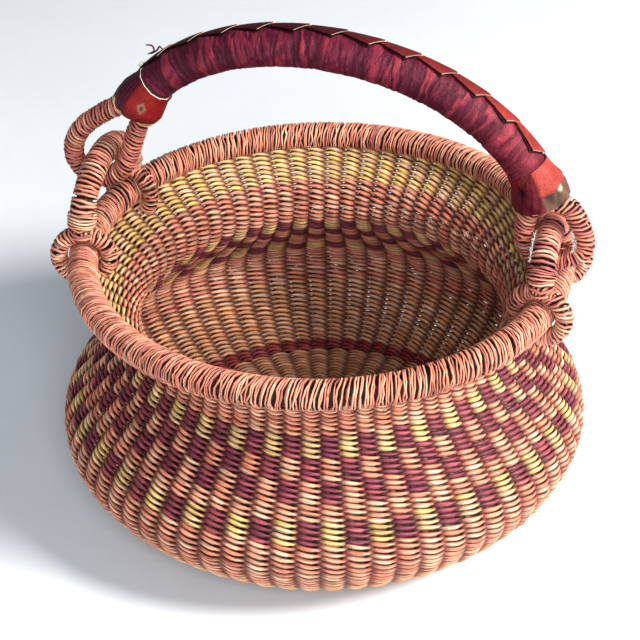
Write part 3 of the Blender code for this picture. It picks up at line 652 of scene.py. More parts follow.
def stake_rods(rng, count, start, stop, dye, companion, weave):
    """Upright stakes: flat rods along the wall's middle between two distances from its start, darkened to painted
    shade.
    """
    steps = max(2, math.ceil((stop - start) / STAKE_STEP)) + 1
    distances = np.linspace(start, stop, steps)
    middle = points_at(WALL_LINE, distances)
    heading = directions_at(WALL_LINE, distances)
    normal = np.stack([heading[:, 1], -heading[:, 0]], axis=-1)
    turns = math.tau * (np.arange(count) + WALL_TURN_SHARE) / count
    spin = np.stack([np.cos(turns), np.sin(turns)], axis=-1)[:, None]
    path = np.concatenate([middle[None, :, :1] * spin, 0.0 * spin[..., :1] + middle[None, :, 1:]], axis=-1)
    outward = np.concatenate([normal[None, :, :1] * spin, 0.0 * spin[..., :1] + normal[None, :, 1:]],
                             axis=-1)
    # Painted shade: the stakes show only in the shaded gaps between rows, so their colours are darkened
    colours = tinted(rng, dye, companion, (count, 1), TINT_SPREAD) * STAKE_SHADE_SHARE + np.zeros((1, steps, 1))
    return strand_sheet(path, outward, weave.stake_thickness / 2.0, weave.stake_width / 2.0, colours)


# Whipping

def whipped(rng, line, normal, radius, pitch, dyes, mix, closed=False, plies=1, first=0.0, last=0.0,
            thickness=None, points=TURN_POINTS, tilt=0.0):
    """A strand wound round a rope: the rope's middle line plus the radius times the cosine and sine.

    The normal is square to the plane of the rope's line. The strand's middle is as far out as lets
    its outer side touch the radius. With more than one ply, that many strands lie side by side in
    each turn. Each turn has its own tint, drawn from the mix of dyes, and is a little uneven. The
    tilt, a length, moves a turn's outer half along the rope and its inner half back.
    """
    half_thick = (thickness or WHIPPING_THICKNESS) / 2.0
    length = run_lengths(line)[-1] - first - last
    turns = max(1, round(length / pitch))
    pitch = length / turns
    count = turns * points + (0 if closed else 1)
    turn = np.arange(count) / points
    ply = np.arange(plies)[:, None]
    number = np.minimum(turn.astype(int), turns - 1)
    uneven = rng.normal(0.0, 1.0, (4, plies, turns + 1))
    if closed:
        uneven[..., -1] = uneven[..., 0]
    smooth = uneven[..., number] * (1.0 - turn % 1.0) + uneven[..., number + 1] * (turn % 1.0)
    rough = rng.normal(0.0, 1.0, (2, plies, count))
    angle = math.tau * turn + math.tau * WHIP_START_SHARE
    aside = (ply - (plies - 1) / 2.0) / plies * pitch * PLY_CLOSENESS
    shift = smooth[0] * TURN_UNEVENNESS + rough[0] * POINT_UNEVENNESS
    reach = turn * pitch + aside + shift * pitch + tilt * np.cos(angle)
    total = run_lengths(line)[-1]
    reach = first + (reach % total if closed else np.clip(reach, 0.0, length))
    middle = points_at(line, reach)
    along = directions_at(line, reach)
    second = unit(np.cross(along, np.broadcast_to(normal, along.shape)))
    spoke = np.cos(angle)[:, None] * second + np.sin(angle)[:, None] * normal
    lift = radius - half_thick + smooth[1] * TURN_LIFT
    path = middle + spoke * lift[..., None]
    names = list(mix)
    shares = np.array([mix[name] for name in names])
    picks = rng.choice(len(names), (plies, turns), p=shares / shares.sum())
    table = np.array([dyes[name] for name in names])
    mean = shares @ table / shares.sum()
    table = table + (mean - table) * MEAN_DYE_SHARE
    light = np.exp(rng.normal(0.0, TINT_SPREAD, (plies, turns)))[..., None]
    colours = (table[picks] * light)[:, number]
    fullness = WHIP_FULLNESS * (1.0 + smooth[2] * STITCH_SIZE_SPREAD + rough[1] * POINT_SIZE_SPREAD)
    wide = pitch / 2.0 / plies * fullness
    return strand_sheet(path, spoke, half_thick, wide, colours, closed=closed, shade=GRASS_SHADE_SHARE)


# Leather

def round_handle(line, steps_out, angles):
    """Places round the handle: its middle line plus steps out along cosine outward and sine sideways."""
    heading = directions(line)
    outward = np.stack([-heading[:, 2], 0.0 * heading[:, 1], heading[:, 0]], axis=1)
    sideways = np.broadcast_to([0.0, 1.0, 0.0], outward.shape)
    spokes = np.cos(angles)[None, :, None] * outward[:, None] + np.sin(angles)[None, :, None] * sideways[:, None]
    return line[:, None] + spokes * steps_out[..., None], spokes


def skin_sheet(rng, handle):
    """Wrinkled leather tube: the handle's radius less a crease depth that runs in folds along it.

    The folds are the sizes of rough steps along the handle, round on top and sharp where they meet;
    they run round the handle and wander a little sideways, and are deepest on its front and back.
    Colours carry painted shade in the creases, are lighter and redder on the folds' tops, where the leather is worn
    and a highlight is painted, and mottle in patches.
    """
    line = handle_line(CUFF_PLUG_LENGTH, SKIN_RINGS)
    angles = -np.linspace(0.0, math.tau, SKIN_SIDES, endpoint=False)
    reach = run_lengths(line)[:, None]
    wander = SKIN_WANDER * np.sin(2.0 * angles[None, :] + math.tau * rough_steps(rng, reach, SKIN_PATCH))
    shiver = np.sin(5.0 * angles[None, :] + 2.0 * math.tau * rough_steps(rng, reach, SKIN_PATCH * 0.5))
    wander = wander + SKIN_WANDER * 0.4 * shiver
    folds = (1.0 - FINE_CREASE_SHARE) * np.abs(rough_steps(rng, reach + wander, handle.crease_spacing))
    fine = np.abs(rough_steps(rng, reach - wander, handle.crease_spacing * FINE_SPACING_SHARE))
    folds = 1.6 * (folds + FINE_CREASE_SHARE * fine)
    fade = 0.5 + 0.5 * rough_steps(rng, reach + 3.0 * wander, SKIN_PATCH)
    depth = handle.crease_depth * (0.35 + 0.65 * np.sin(angles)[None, :]**2) * (0.55 + 0.45 * fade)
    depth = depth * np.clip(np.minimum(reach, reach[-1] - reach) / SKIN_PATCH - 0.5, 0.2, 1.0)
    radius = HANDLE_RADIUS - depth * np.clip(1.0 - folds, 0.0, 1.0)
    places, _ = round_handle(line, radius, angles)
    patch = rough_steps(rng, reach + SKIN_PATCH * np.sin(2.0 * angles)[None, :], SKIN_PATCH * 0.4)
    # Lighter, redder colour on the folds' tops: worn leather, with a painted highlight
    worn = np.clip(1.7 * folds - 0.95, 0.0, 1.0) * np.clip(0.50 + 0.5 * patch, 0.0, 1.0)
    warm = 0.6 * np.clip((reach / reach[-1] - 0.62) * 2.6, 0.0, 1.0)[..., None]
    plain = np.array(handle.leather) * (1.0 - warm) + np.array(handle.leather_red) * warm
    worn = worn[..., None]
    dyes = plain * (1.0 - worn) + np.array(handle.worn_highlit_leather) * worn
    # Painted shade: darker colour down in the creases
    dyes = dyes * (0.42 + 0.58 * np.clip(folds + 0.25, 0.0, 1.0))[..., None]
    count = places.shape[0]
    arc = HANDLE_RADIUS * np.abs((angles + math.pi) % math.tau - math.pi)[None, :] + 0.0 * reach
    fibres = np.stack([reach + 0.0 * arc, arc, 0.0 * arc], axis=-1)
    return Sheet(places.reshape(-1, 3), tube_faces(1, count, SKIN_SIDES, False),
                 cap_faces(1, count, SKIN_SIDES), dyes.reshape(-1, 3), fibres.reshape(-1, 3))


def seam_frame(distances):
    """Places on the seam's seat, the direction along it and outward, at distances along it."""
    line = handle_line(0.0, FAIR_SAMPLES)
    start = LEFT.cuff_length + PLATE_END_MARGIN
    place = points_at(line, start + distances)
    heading = directions_at(line, start + distances)
    outward = np.stack([-heading[..., 2], 0.0 * heading[..., 1], heading[..., 0]], axis=-1)
    outward = outward * math.cos(SEAM_LEAN) + np.array([0.0, 1.0, 0.0]) * math.sin(SEAM_LEAN)
    return place, heading, outward


def seam_sheets(rng, handle):
    """Flat leather lace: overlapping plates that widen to one end, over a dark strip of painted shadow along the
    seam.

    A plate's half width grows with a power of the share of its length up to a shoulder and then
    narrows to its tip; it rises a little, from under its neighbour to over the next one. The strip
    under it, a painted shadow, has the same outline, a little wider. A plate is pale along its cut end.
    """
    length = run_lengths(handle_line(0.0, FAIR_SAMPLES))[-1]
    run = length - LEFT.cuff_length - RIGHT.cuff_length - 2.0 * PLATE_END_MARGIN
    pitch = run / PLATE_COUNT
    share = np.linspace(0.0, 1.0, PLATE_RINGS)**PLATE_SPACING
    start = np.arange(PLATE_COUNT)[:, None] * pitch
    distances = start + pitch * (share * PLATE_LENGTH_SHARE - (PLATE_LENGTH_SHARE - 1.0))
    place, heading, outward = seam_frame(distances)
    growing = np.minimum(share / PLATE_SHOULDER, 1.0)**0.5
    narrowing = np.clip((1.0 - share) / (1.0 - PLATE_SHOULDER), 0.0, 1.0)**0.8
    fullness = np.clip(np.minimum(growing, narrowing), 0.06, 1.0)
    widening = 1.0 + (PLATE_RIGHT_WIDENING - 1.0) * np.linspace(0.0, 1.0, PLATE_COUNT)[:, None]
    half_wide = handle.plate_width / 2.0 * fullness * widening
    rise = PLATE_RISE * share
    seat = HANDLE_RADIUS + PLATE_SEAT
    side = np.cross(heading, outward)
    path = place + side * (rng.normal(0.0, PLATE_UNEVENNESS, (PLATE_COUNT, 1, 1)))
    light = np.exp(rng.normal(0.0, TINT_SPREAD, (PLATE_COUNT, 1, 1)))
    warm = np.clip(np.linspace(-0.7, 1.0, PLATE_COUNT), 0.0, 1.0)[:, None, None]
    lace = (np.array(handle.lace) * warm + np.array(handle.lace_dark) * (1.0 - warm)) * light
    turn = np.linspace(0.0, math.tau, PLATE_SIDES, endpoint=False)
    cut = (np.abs(np.sin(turn)) > EDGE_SINE)[None, :] * (share > PLATE_SHOULDER)[:, None]
    cut = np.maximum(cut, (share > EDGE_START)[:, None] + 0.0 * cut)[None, ..., None]
    dyes = lace[:, :, None] * (1.0 - cut) + np.array(handle.cut_edge) * cut
    half_thick = handle.plate_thickness / 2.0
    plates = strand_sheet(path + outward * (seat + rise)[None, :, None], outward, half_thick, half_wide, dyes,
                          sides=PLATE_SIDES, arch=HANDLE_RADIUS)
    # Painted shadow: a dark strip under the plates that shows past their edges
    dark = np.array(handle.leather) * SEAM_SHADE_SHARE + np.zeros((PLATE_COUNT, PLATE_RINGS, 3))
    under = strand_sheet(path + outward * (seat - half_thick), outward, half_thick / 2.0,
                         half_wide + UNDER_WIDENING, dark, sides=PLATE_SIDES, arch=HANDLE_RADIUS)
    return [plates, under]


def cuff_sheet(rng, side, handle):
    """Leather cuff: a profile of radius and height turned round the end of the handle, with folds.

    From the middle of the mouth the profile goes out to the lip, up the flared outside and in to the
    handle. Its depth is less than its width. Folds are rough steps round it that fade towards the top.
    """
    length = side.cuff_length
    lip = CUFF_LEATHER
    profile = smooth_through([
        (0.0005, CUFF_MOUTH_DEPTH), (side.cuff_end - 2.0 * lip, CUFF_MOUTH_DEPTH),
        (side.cuff_end - lip, 0.2 * lip), (side.cuff_end - 0.3 * lip, 0.0),
        (side.cuff_end, lip), (side.cuff_end + side.cuff_bulge, length * 0.35),
        (side.cuff_top - CUFF_FOLD, length * 0.75),
        (HANDLE_RADIUS + 1.2 * CUFF_FOLD, length - 0.5 * lip), (HANDLE_RADIUS + 0.9 * CUFF_FOLD, length),
        (HANDLE_RADIUS, length - 0.1 * lip), (HANDLE_RADIUS * 0.7, length - lip),
        (0.0005, length - lip),
    ], CUFF_STEPS)
    angles = -np.linspace(0.0, math.tau, CUFF_SIDES, endpoint=False)
    height = profile[:, 1:] + 0.0 * angles[None, :]
    share = height / length
    outer = np.clip((profile[:, :1] - HANDLE_RADIUS) / CUFF_FOLD + 0.5, 0.0, 1.0)
    arc = angles / math.tau * 24.0
    folds = rough_steps(rng, arc[None, :] + 3.0 * share, 1.3) + 0.6 * rough_steps(rng, 2.0 * arc[None, :]
                                                                                 - 4.0 * share, 1.1)
    ripples = rough_steps(rng, height + 0.002 * np.sin(angles)[None, :], CUFF_RIPPLE)
    radius = profile[:, :1] + outer * (folds * CUFF_FOLD * (1.2 - share) + ripples * CUFF_FOLD * 0.5)
    turned = np.mod(np.degrees(angles), 360.0)[None, :] + 0.0 * height
    radius, dyes = side_finish(side, handle, radius, share, turned, outer, np.clip(folds, -1.0, 1.0))
    line = handle_line(0.0, FAIR_SAMPLES)
    line = line if side.sign < 0.0 else line[::-1]
    middle = points_at(line, height[:, 0])[:, None]
    upward = directions_at(line, height[:, 0])[:, None]
    sideways = np.array([0.0, 1.0, 0.0])
    across = np.cross(sideways, upward)
    spoke = (np.cos(angles)[None, :, None] * across
             + np.sin(angles)[None, :, None] * sideways * CUFF_DEPTH_SHARE)
    places = middle + radius[..., None] * spoke
    fibres = np.stack([height, radius * np.abs((angles + math.pi) % math.tau - math.pi)[None, :],
                       0.0 * height], axis=-1)
    rings = len(profile)
    return Sheet(places.reshape(-1, 3), tube_faces(1, rings, CUFF_SIDES, False),
                 cap_faces(1, rings, CUFF_SIDES), dyes.reshape(-1, 3), fibres.reshape(-1, 3))


def near(values, centre, spread):
    """A smooth hump: one at the centre and falling with the square of the distance over the spread."""
    return np.exp(-((values - centre) / spread)**2)


def side_finish(side, handle, radius, share, turned, outer, folds):
    """The colours and the raised or creased places of one cuff, by height share and angle in degrees.

    Angles run from 90, at the back, past 270, at the front, to 450, at the back again. The colours hold
    painted shade in the right cuff's crease and rays, near the left cuff's lip and on the inside.
    """
    turned = np.mod(turned - 90.0, 360.0) + 90.0
    if side.sign < 0.0:
        red = np.clip((turned - 250.0 + 18.0 * share) / 9.0, 0.0, 1.0) * np.clip((408.0 - turned) / 30.0, 0.0, 1.0)
        streaks = 0.75 + 0.25 * np.cos(np.radians(turned) * 26.0 + 9.0 * share)
        radius = radius + outer * (red * CUFF_LEATHER * 0.5 - (1.0 - red) * CUFF_LEATHER * 0.25 * streaks)
        red = red[..., None]
        dyes = np.array(handle.leather) * streaks[..., None] * (1.0 - red) + np.array(handle.cuff_red) * red
        skew = turned + 20.0 * share
        worn = np.abs(skew - 294.0) / 14.0 + np.abs(share - 0.50) / 0.19
        hollow = np.clip((0.55 - worn) * 5.0, 0.0, 1.0)[..., None]
        worn = np.clip((1.0 - worn) * 5.0, 0.0, 1.0)[..., None]
        dyes = dyes * (1.0 - worn) + np.array(handle.torn) * (0.5 - 0.38 * hollow) * worn
        # Painted shade: the red leather is darker near the cuff's lip
        low = near(share, 0.06, 0.10)[..., None] * red
        dyes = dyes * (1.0 - 0.5 * low)
    else:
        edge = 0.43 + 0.05 * np.sin(np.radians(turned * 2.0))
        band = np.clip((share - edge) / 0.03, 0.0, 1.0) * np.clip((turned - 276.0 - 14.0 * share) / 6.0, 0.0, 1.0)
        crease = near(turned, 246.0, 13.0) * near(share, 0.62, 0.13)
        around = np.arctan2((share - 0.62) * 2.4, np.radians(turned - 246.0))
        rays = (0.5 + 0.5 * np.cos(7.0 * around)) * near(turned, 250.0, 34.0) * near(share, 0.62, 0.34)
        radius = radius + outer * CUFF_LEATHER * (0.6 * band - 1.3 * crease - 0.5 * rays)
        pale = band[..., None]
        lower = np.array(handle.cuff_red) * 0.28 + np.array(handle.leather) * 0.50
        upper = np.array(handle.cuff_red) * 0.50 + np.array(handle.leather) * 0.38
        base = lower + (upper - lower) * np.clip((share - 0.4) / 0.3, 0.0, 1.0)[..., None]
        dyes = base * (1.0 - pale) + np.array(handle.cuff_salmon) * pale
        torn = np.clip((turned - 288.0) / 5.0, 0.0, 1.0) * np.clip((376.0 - turned) / 12.0, 0.0, 1.0)
        torn = torn * np.clip((edge - share) / 0.02, 0.0, 1.0)
        radius = radius - outer * torn * CUFF_LEATHER * 0.5
        scrap = near(turned, 338.0, 8.0) * near(share, 0.36, 0.07)
        scrap = np.clip(3.0 * scrap - 1.0, 0.0, 1.0)[..., None]
        torn = torn[..., None]
        patchy = (0.20 + 0.14 * folds)[..., None]
        dyes = dyes * (1.0 - torn) + np.array(handle.torn) * patchy * torn
        dyes = dyes * (1.0 - scrap) + np.array(handle.cut_edge) * scrap
        # Painted shade in the crease and along the rays of folds round it
        dyes = dyes * (1.0 - 0.93 * crease)[..., None] * (1.0 - 0.35 * rays)[..., None]
    # Painted shade: the cuff's inner surfaces and mouth are darkened
    inside = (1.0 - outer + 0.0 * share)[..., None]
    return radius, dyes * (1.0 - 0.85 * inside)


def free_strand(rng, points, radius, dye, steps=6, sides=6):
    """A short loose strand through given points, thinner at its ends."""
    line = smooth_through(points, steps)[None]
    across = np.array([0.3, -0.7, 0.6])
    count = line.shape[1]
    thin = radius * (0.6 + 0.4 * np.sin(np.linspace(0.0, math.pi, count)))[None]
    dyes = np.array(dye) * math.exp(rng.normal(0.0, 0.1)) + np.zeros((1, count, 3))
    return strand_sheet(line, np.broadcast_to(across, line.shape), thin, thin, dyes, sides=sides)


def frayed(rng, places, outward, along, length, count, dye):
    """A tuft of short frayed fibres that stand off a strand: straight lines with a bent tip."""
    pick = rng.integers(0, len(places), count)
    spread = rng.normal(0.0, 1.0, (count, 3))
    base = places[pick] + along[pick] * rng.uniform(-1.0, 1.0, (count, 1)) * length * 0.5
    lean = unit(outward[pick] + 0.55 * spread)
    reach = length * rng.uniform(0.4, 1.0, (count, 1))
    share = np.linspace(0.0, 1.0, FRAY_RINGS)[None, :, None]
    bend = 0.35 * length * share**2 * unit(rng.normal(0.0, 1.0, (count, 3)))[:, None]
    path = base[:, None] + lean[:, None] * reach[:, None] * share + bend
    thin = FRAY_RADIUS * (1.0 - 0.6 * share[..., 0])
    dyes = np.array(dye) * np.exp(rng.normal(0.0, 0.15, (count, 1, 1))) + np.zeros((count, FRAY_RINGS, 3))
    side = np.cross(lean, np.array([0.2, 0.3, 0.93]))[:, None]
    return strand_sheet(path, side + 0.0 * path, thin, thin, dyes, sides=3)


# Materials

class Wire:
    """A node's output socket. Python's arithmetic on it adds Math nodes."""

    def __init__(self, finish, socket):
        self.finish = finish
        self.socket = socket

    def maths(self, operation, first, second):
        """A Math node with this operation on two values or wires."""
        return self.finish.node('ShaderNodeMath', {"operation": operation}, {0: first, 1: second})

    def __add__(self, other):
        return self.maths('ADD', self, other)

    def __radd__(self, other):
        return self.maths('ADD', other, self)

    def __sub__(self, other):
        return self.maths('SUBTRACT', self, other)

    def __rsub__(self, other):
        return self.maths('SUBTRACT', other, self)

    def __mul__(self, other):
        return self.maths('MULTIPLY', self, other)

    def __rmul__(self, other):
        return self.maths('MULTIPLY', other, self)

    def __pow__(self, other):
        return self.maths('POWER', self, other)


class Finish:
    """A material in the making: its Principled shader and the nodes that feed it."""

    def __init__(self, name, **constants):
        self.material = bpy.data.materials.new(name)
        self.material.use_nodes = True
        self.tree = self.material.node_tree
        self.shader = self.tree.nodes["Principled BSDF"]
        for socket, value in constants.items():
            self.shader.inputs[socket.replace("_", " ")].default_value = value

    def plug(self, socket, value):
        """Link a wire into a socket, or set the socket's own value."""
        if isinstance(value, Wire):
            self.tree.links.new(value.socket, socket)
        else:
            socket.default_value = value

    def node(self, kind, settings=None, sockets=None, output=0):
        """Add a node: its settings first, then the values or wires of its sockets."""
        made = self.tree.nodes.new(kind)
        for key, value in (settings or {}).items():
            if key == "stops":
                self.set_stops(made.color_ramp, value)
            else:
                setattr(made, key, value)
        for key, value in (sockets or {}).items():
            self.plug(made.inputs[key], value)
        return Wire(self, made.outputs[output])

    def set_stops(self, ramp, stops):
        """Give a ramp its stops, each a position and a colour."""
        while len(ramp.elements) < len(stops):
            ramp.elements.new(1.0)
        for element, (position, colour) in zip(ramp.elements, stops):
            element.position = position
            element.color = colour

    def attribute(self, name, output):
        """One of a mesh's own attributes."""
        return self.node('ShaderNodeAttribute', {"attribute_name": name}, output=output)

    def scaled(self, place, scale):
        """A place multiplied by a scale for each axis."""
        return self.node('ShaderNodeVectorMath', {"operation": 'MULTIPLY'}, {0: place, 1: scale})

    def noise(self, place, scale, detail, roughness=0.5):
        """Noise from 0 to 1 at a place."""
        return self.node('ShaderNodeTexNoise', {},
                         {"Vector": place, "Scale": scale, "Detail": detail, "Roughness": roughness})

    def spread(self, value, low, high, to_low, to_high):
        """A value moved from one range to another and kept inside it."""
        return self.node('ShaderNodeMapRange', {"clamp": True},
                         {"Value": value, "From Min": low, "From Max": high, "To Min": to_low,
                          "To Max": to_high})

    def mixed(self, share, first, second, blend='MIX'):
        """Two colours mixed by a share."""
        return self.node('ShaderNodeMix', {"data_type": 'RGBA', "blend_type": blend},
                         {0: share, 6: first, 7: second}, output=2)

    def shaded(self, colour, light):
        """A colour made lighter or darker by a wire."""
        return self.node('ShaderNodeVectorMath', {"operation": 'SCALE'}, {0: colour, "Scale": light})

    def bump(self, height, distance, strength=1.0):
        """Bend the shading by a height, at this distance in metres."""
        bent = self.node('ShaderNodeBump', {},
                         {"Height": height, "Distance": distance, "Strength": strength})
        self.plug(self.shader.inputs["Normal"], bent)

    def feed(self, socket, value):
        """Feed a socket of the shader."""
        self.plug(self.shader.inputs[socket], value)


def grass_finish(look):
    """Dyed dry grass: the strand's dye with fibre streaks, partly painted highlight and shade, half matte."""
    finish = Finish("dyed_grass", Roughness=GRASS_ROUGHNESS, Specular_IOR_Level=GRASS_SHEEN)
    dye = finish.attribute("dye", 0)
    fibre = finish.attribute("fibre", 1)
    streaks = finish.noise(finish.scaled(fibre, look.streak_scale), 1.0, 3.0, 0.6)
    patches = finish.noise(finish.scaled(fibre, look.patch_scale), 1.0, 1.0)
    # The light streaks paint highlights and the dark ones shade, on top of the fibres' own colour
    light = (finish.spread(streaks, 0.34, 0.62, look.streak_dark, look.streak_light)
             * finish.spread(patches, 0.3, 0.7, 0.86, 1.10))
    finish.feed("Base Color", finish.shaded(dye, light))
    finish.feed("Roughness", finish.spread(streaks, 0.3, 0.7, 0.62, 0.38))
    finish.bump(streaks, look.streak_depth)
    return finish.material


def bundle_finish():
    """Undyed grass stems in a bundle, darkened to painted shade: lighter streaks on Object coordinates."""
    finish = Finish("shaded_grass_stems", Roughness=GRASS_ROUGHNESS, Specular_IOR_Level=0.1)
    place = finish.node('ShaderNodeTexCoord', output=3)
    stems = finish.noise(finish.scaled(place, (420.0, 420.0, 420.0)), 1.0, 4.0, 0.6)
    # Painted shade: the stems show only in the gaps between turns, so their colours are kept dark
    colour = finish.node('ShaderNodeValToRGB', {"stops": [
        (0.30, (0.010, 0.004, 0.002, 1.0)), (0.50, (0.035, 0.014, 0.008, 1.0)), (0.72, (0.10, 0.045, 0.022, 1.0))]},
        {0: stems})
    finish.feed("Base Color", colour)
    finish.feed("Roughness", finish.spread(stems, 0.3, 0.7, 0.7, 0.5))
    finish.bump(stems, 0.0003)
    return finish.material


def leather_finish(name, grain, gloss):
    """Soft dyed leather: dye with mottling, fine grain, gloss that is lower in the pores."""
    finish = Finish(name, Coat_Roughness=0.35, Specular_IOR_Level=0.15)
    dye = finish.attribute("dye", 0)
    place = finish.node('ShaderNodeTexCoord', output=3)
    cells = finish.node('ShaderNodeTexVoronoi', {"feature": 'F1'}, {"Vector": place, "Scale": grain})
    pores = finish.noise(place, grain * 0.5, 4.0, 0.6)
    mottle = finish.noise(place, 150.0, 4.0, 0.6)
    light = finish.spread(mottle, 0.30, 0.70, 0.72, 1.22) * finish.spread(pores, 0.25, 0.7, 0.85, 1.08)
    finish.feed("Base Color", finish.shaded(dye, light))
    finish.feed("Roughness", finish.spread(pores, 0.3, 0.7, gloss + 0.14, gloss - 0.02))
    finish.feed("Coat Weight", finish.spread(mottle, 0.4, 0.7, 0.0, 0.06))
    finish.bump(cells * 0.5 + pores + mottle, 0.00035)
    return finish.material


def thread_finish():
    """Twisted cotton thread: pale, with its ply lines slanting round it."""
    finish = Finish("cream_thread", Roughness=0.8, Sheen_Weight=0.2)
    dye = finish.attribute("dye", 0)
    fibre = finish.attribute("fibre", 1)
    split = finish.node('ShaderNodeSeparateXYZ', {}, {0: fibre})
    across = finish.node('ShaderNodeSeparateXYZ', {}, {0: fibre}, output=2)
    plies = finish.node('ShaderNodeMath', {"operation": 'SINE'}, {0: split * 9000.0 + across * 4000.0})
    fuzz = finish.noise(finish.scaled(fibre, (2000.0, 5000.0, 5000.0)), 1.0, 3.0)
    light = finish.spread(plies, -1.0, 1.0, 0.72, 1.06) * finish.spread(fuzz, 0.3, 0.7, 0.88, 1.06)
    finish.feed("Base Color", finish.shaded(dye, light))
    finish.bump(plies + fuzz, 0.00012)
    return finish.material


def floor_finish(look):
    """Pale painted floor with faint scuffs."""
    finish = Finish("pale_floor", Roughness=0.7, Specular_IOR_Level=0.2)
    place = finish.node('ShaderNodeTexCoord', output=3)
    clouds = finish.noise(place, 6.0, 5.0, 0.6)
    scuffs = finish.noise(place, 90.0, 6.0, 0.7)
    light = finish.spread(clouds, 0.3, 0.7, 0.97, 1.02) * finish.spread(scuffs, 0.25, 0.6, 0.985, 1.0)
    finish.feed("Base Color", finish.shaded(tuple(look.floor), light))
    finish.bump(scuffs, 0.0002)
    return finish.material


# Settings

def length_size(name, default, description):
    """A property for a small length in metres."""
    return FloatProperty(name=name, description=description, default=default, min=0.0, precision=5,
                         unit='LENGTH')


def dye_colour(name, default, description):
    """A property for a colour."""
    return FloatVectorProperty(name=name, description=description, default=default, subtype='COLOR',
                               size=3, min=0.0, max=1.0)


class WeaveSettings(bpy.types.PropertyGroup):
    """Sizes and dyes of the twined wall, the base and the stakes."""

    stakes: IntProperty(name="Stakes", description="Upright stakes round the wall", default=70, min=8)
    strand_height: length_size("Strand height", 0.0026, "Height of a strand in the middle of a stitch")
    strand_thickness: length_size("Strand thickness", 0.0019, "Thickness of a strand through the wall")
    swing: length_size("Swing", 0.0014, "How far a strand steps out of the wall's middle")
    slant: length_size("Slant", 0.00082, "How far a strand steps along the wall as it crosses")
    wobble: length_size("Wobble", 0.0004, "How far rows wander from their even place")
    unevenness: length_size("Unevenness", 0.00013, "How far single stitches stand out of line")
    stake_thickness: length_size("Stake thickness", 0.0010, "Thickness of a flat stake")
    stake_width: length_size("Stake width", 0.0034, "Width of a flat stake")
    yellow: dye_colour("Yellow", (0.88, 0.60, 0.17), "Dye of the yellow grass")
    coral: dye_colour("Coral", (0.78, 0.245, 0.14), "Dye of the coral grass")
    plum: dye_colour("Plum", (0.19, 0.024, 0.055), "Dye of the plum grass")
    rose: dye_colour("Rose", (0.46, 0.10, 0.11), "Faded plum and coral grass")
    natural: dye_colour("Natural", (0.78, 0.35, 0.14), "Undyed grass of the lower wall and base")
    dark_red: dye_colour("Dark red", (0.34, 0.014, 0.016), "Dye of the rows next to the base")
    peach: dye_colour("Peach", (0.95, 0.62, 0.38), "Palest grass among the coral")
    salmon: dye_colour("Salmon", (0.90, 0.39, 0.25), "Grass between the coral and the peach")


class WhippingSettings(bpy.types.PropertyGroup):
    """Sizes of the strands wound round the rim, the ears and the rings."""

    rim_pitch: length_size("Rim pitch", 0.00261, "Distance from turn to turn on the rim")
    ear_pitch: length_size("Ear pitch", 0.0021, "Distance from turn to turn on the ears and foot loops")
    ring_pitch: length_size("Ring pitch", 0.0020, "Distance from turn to turn on the rings")
    binding_pitch: length_size("Binding pitch", 0.0013, "Distance from turn to turn on the bindings")
    tilt: length_size("Tilt", 0.0008, "How far each turn leans along the rope")
    frayed: dye_colour("Frayed fibres", (0.95, 0.80, 0.74), "Pale fibres rubbed up on the right side")


class HandleSettings(bpy.types.PropertyGroup):
    """Sizes and colours of the leather and the thread."""

    crease_spacing: length_size("Crease spacing", 0.0028, "Distance between creases along the handle")
    crease_depth: length_size("Crease depth", 0.0012, "Depth of the deepest creases")
    plate_width: length_size("Lace width", 0.0124, "Width of the flat leather lace")
    plate_thickness: length_size("Lace thickness", 0.0009, "Thickness of the flat leather lace")
    leather: dye_colour("Leather", (0.085, 0.006, 0.021), "Main colour of the handle's leather")
    # Colour of the folds' worn tops, with a painted highlight in it
    worn_highlit_leather: dye_colour("Worn leather", (0.27, 0.025, 0.042), "Lighter patches of the leather")
    leather_red: dye_colour("Red leather", (0.15, 0.011, 0.018), "Redder leather near the right end")
    lace: dye_colour("Lace", (0.25, 0.022, 0.016), "Colour of the laced seam at its right end")
    lace_dark: dye_colour("Dark lace", (0.045, 0.003, 0.009), "Colour of the laced seam at its left end")
    cut_edge: dye_colour("Cut edge", (0.62, 0.42, 0.30), "Pale cut or rubbed leather")
    torn: dye_colour("Torn leather", (0.50, 0.24, 0.15), "Rubbed and torn leather of the cuffs")
    cuff_red: dye_colour("Cuff red", (0.20, 0.008, 0.008), "Red leather of the left cuff")
    cuff_salmon: dye_colour("Cuff salmon", (0.30, 0.036, 0.026), "Light red band of the right cuff")
    knot: dye_colour("Knot", (0.88, 0.78, 0.68), "Frayed cotton of the knot")
    thread: dye_colour("Thread", (0.58, 0.39, 0.26), "Cotton thread")


class StageSettings(bpy.types.PropertyGroup):
    """Sizes of the camera, the lamps and the floor."""

    lens: FloatProperty(name="Lens", description="Focal length of the camera in millimetres",
                        default=106.65, min=1.0)
    key_power: FloatProperty(name="Key lamp", description="Power of the lamp on the right",
                             default=52.0, min=0.0, subtype='POWER')
    fill_power: FloatProperty(name="Fill lamp", description="Power of the lamp over the front",
                              default=21.0, min=0.0, subtype='POWER')
    sky: FloatProperty(name="Sky", description="Strength of the pale surroundings", default=0.25, min=0.0)
    floor: dye_colour("Floor", (0.78, 0.815, 0.855), "Colour of the floor")


class GrassLook:
    """How strongly the fibres of the grass show; scales are for each metre along and across."""

    streak_scale = (110.0, 2300.0, 2300.0)
    patch_scale = (60.0, 0.0, 0.0)
    # The dark and light ends of the streaks: painted shade and highlight, with the fibres' own colour
    streak_dark = 0.34
    streak_light = 1.40
    streak_depth = 0.00030


def dye_table(weave):
    """The grass dyes by name."""
    names = ("yellow", "coral", "plum", "rose", "natural", "dark_red", "peach", "salmon")
    return {name: np.array(getattr(weave, name)) for name in names}


def shared_material(name, maker):
    """A material made once and then used again."""
    return bpy.data.materials.get(name) or maker()


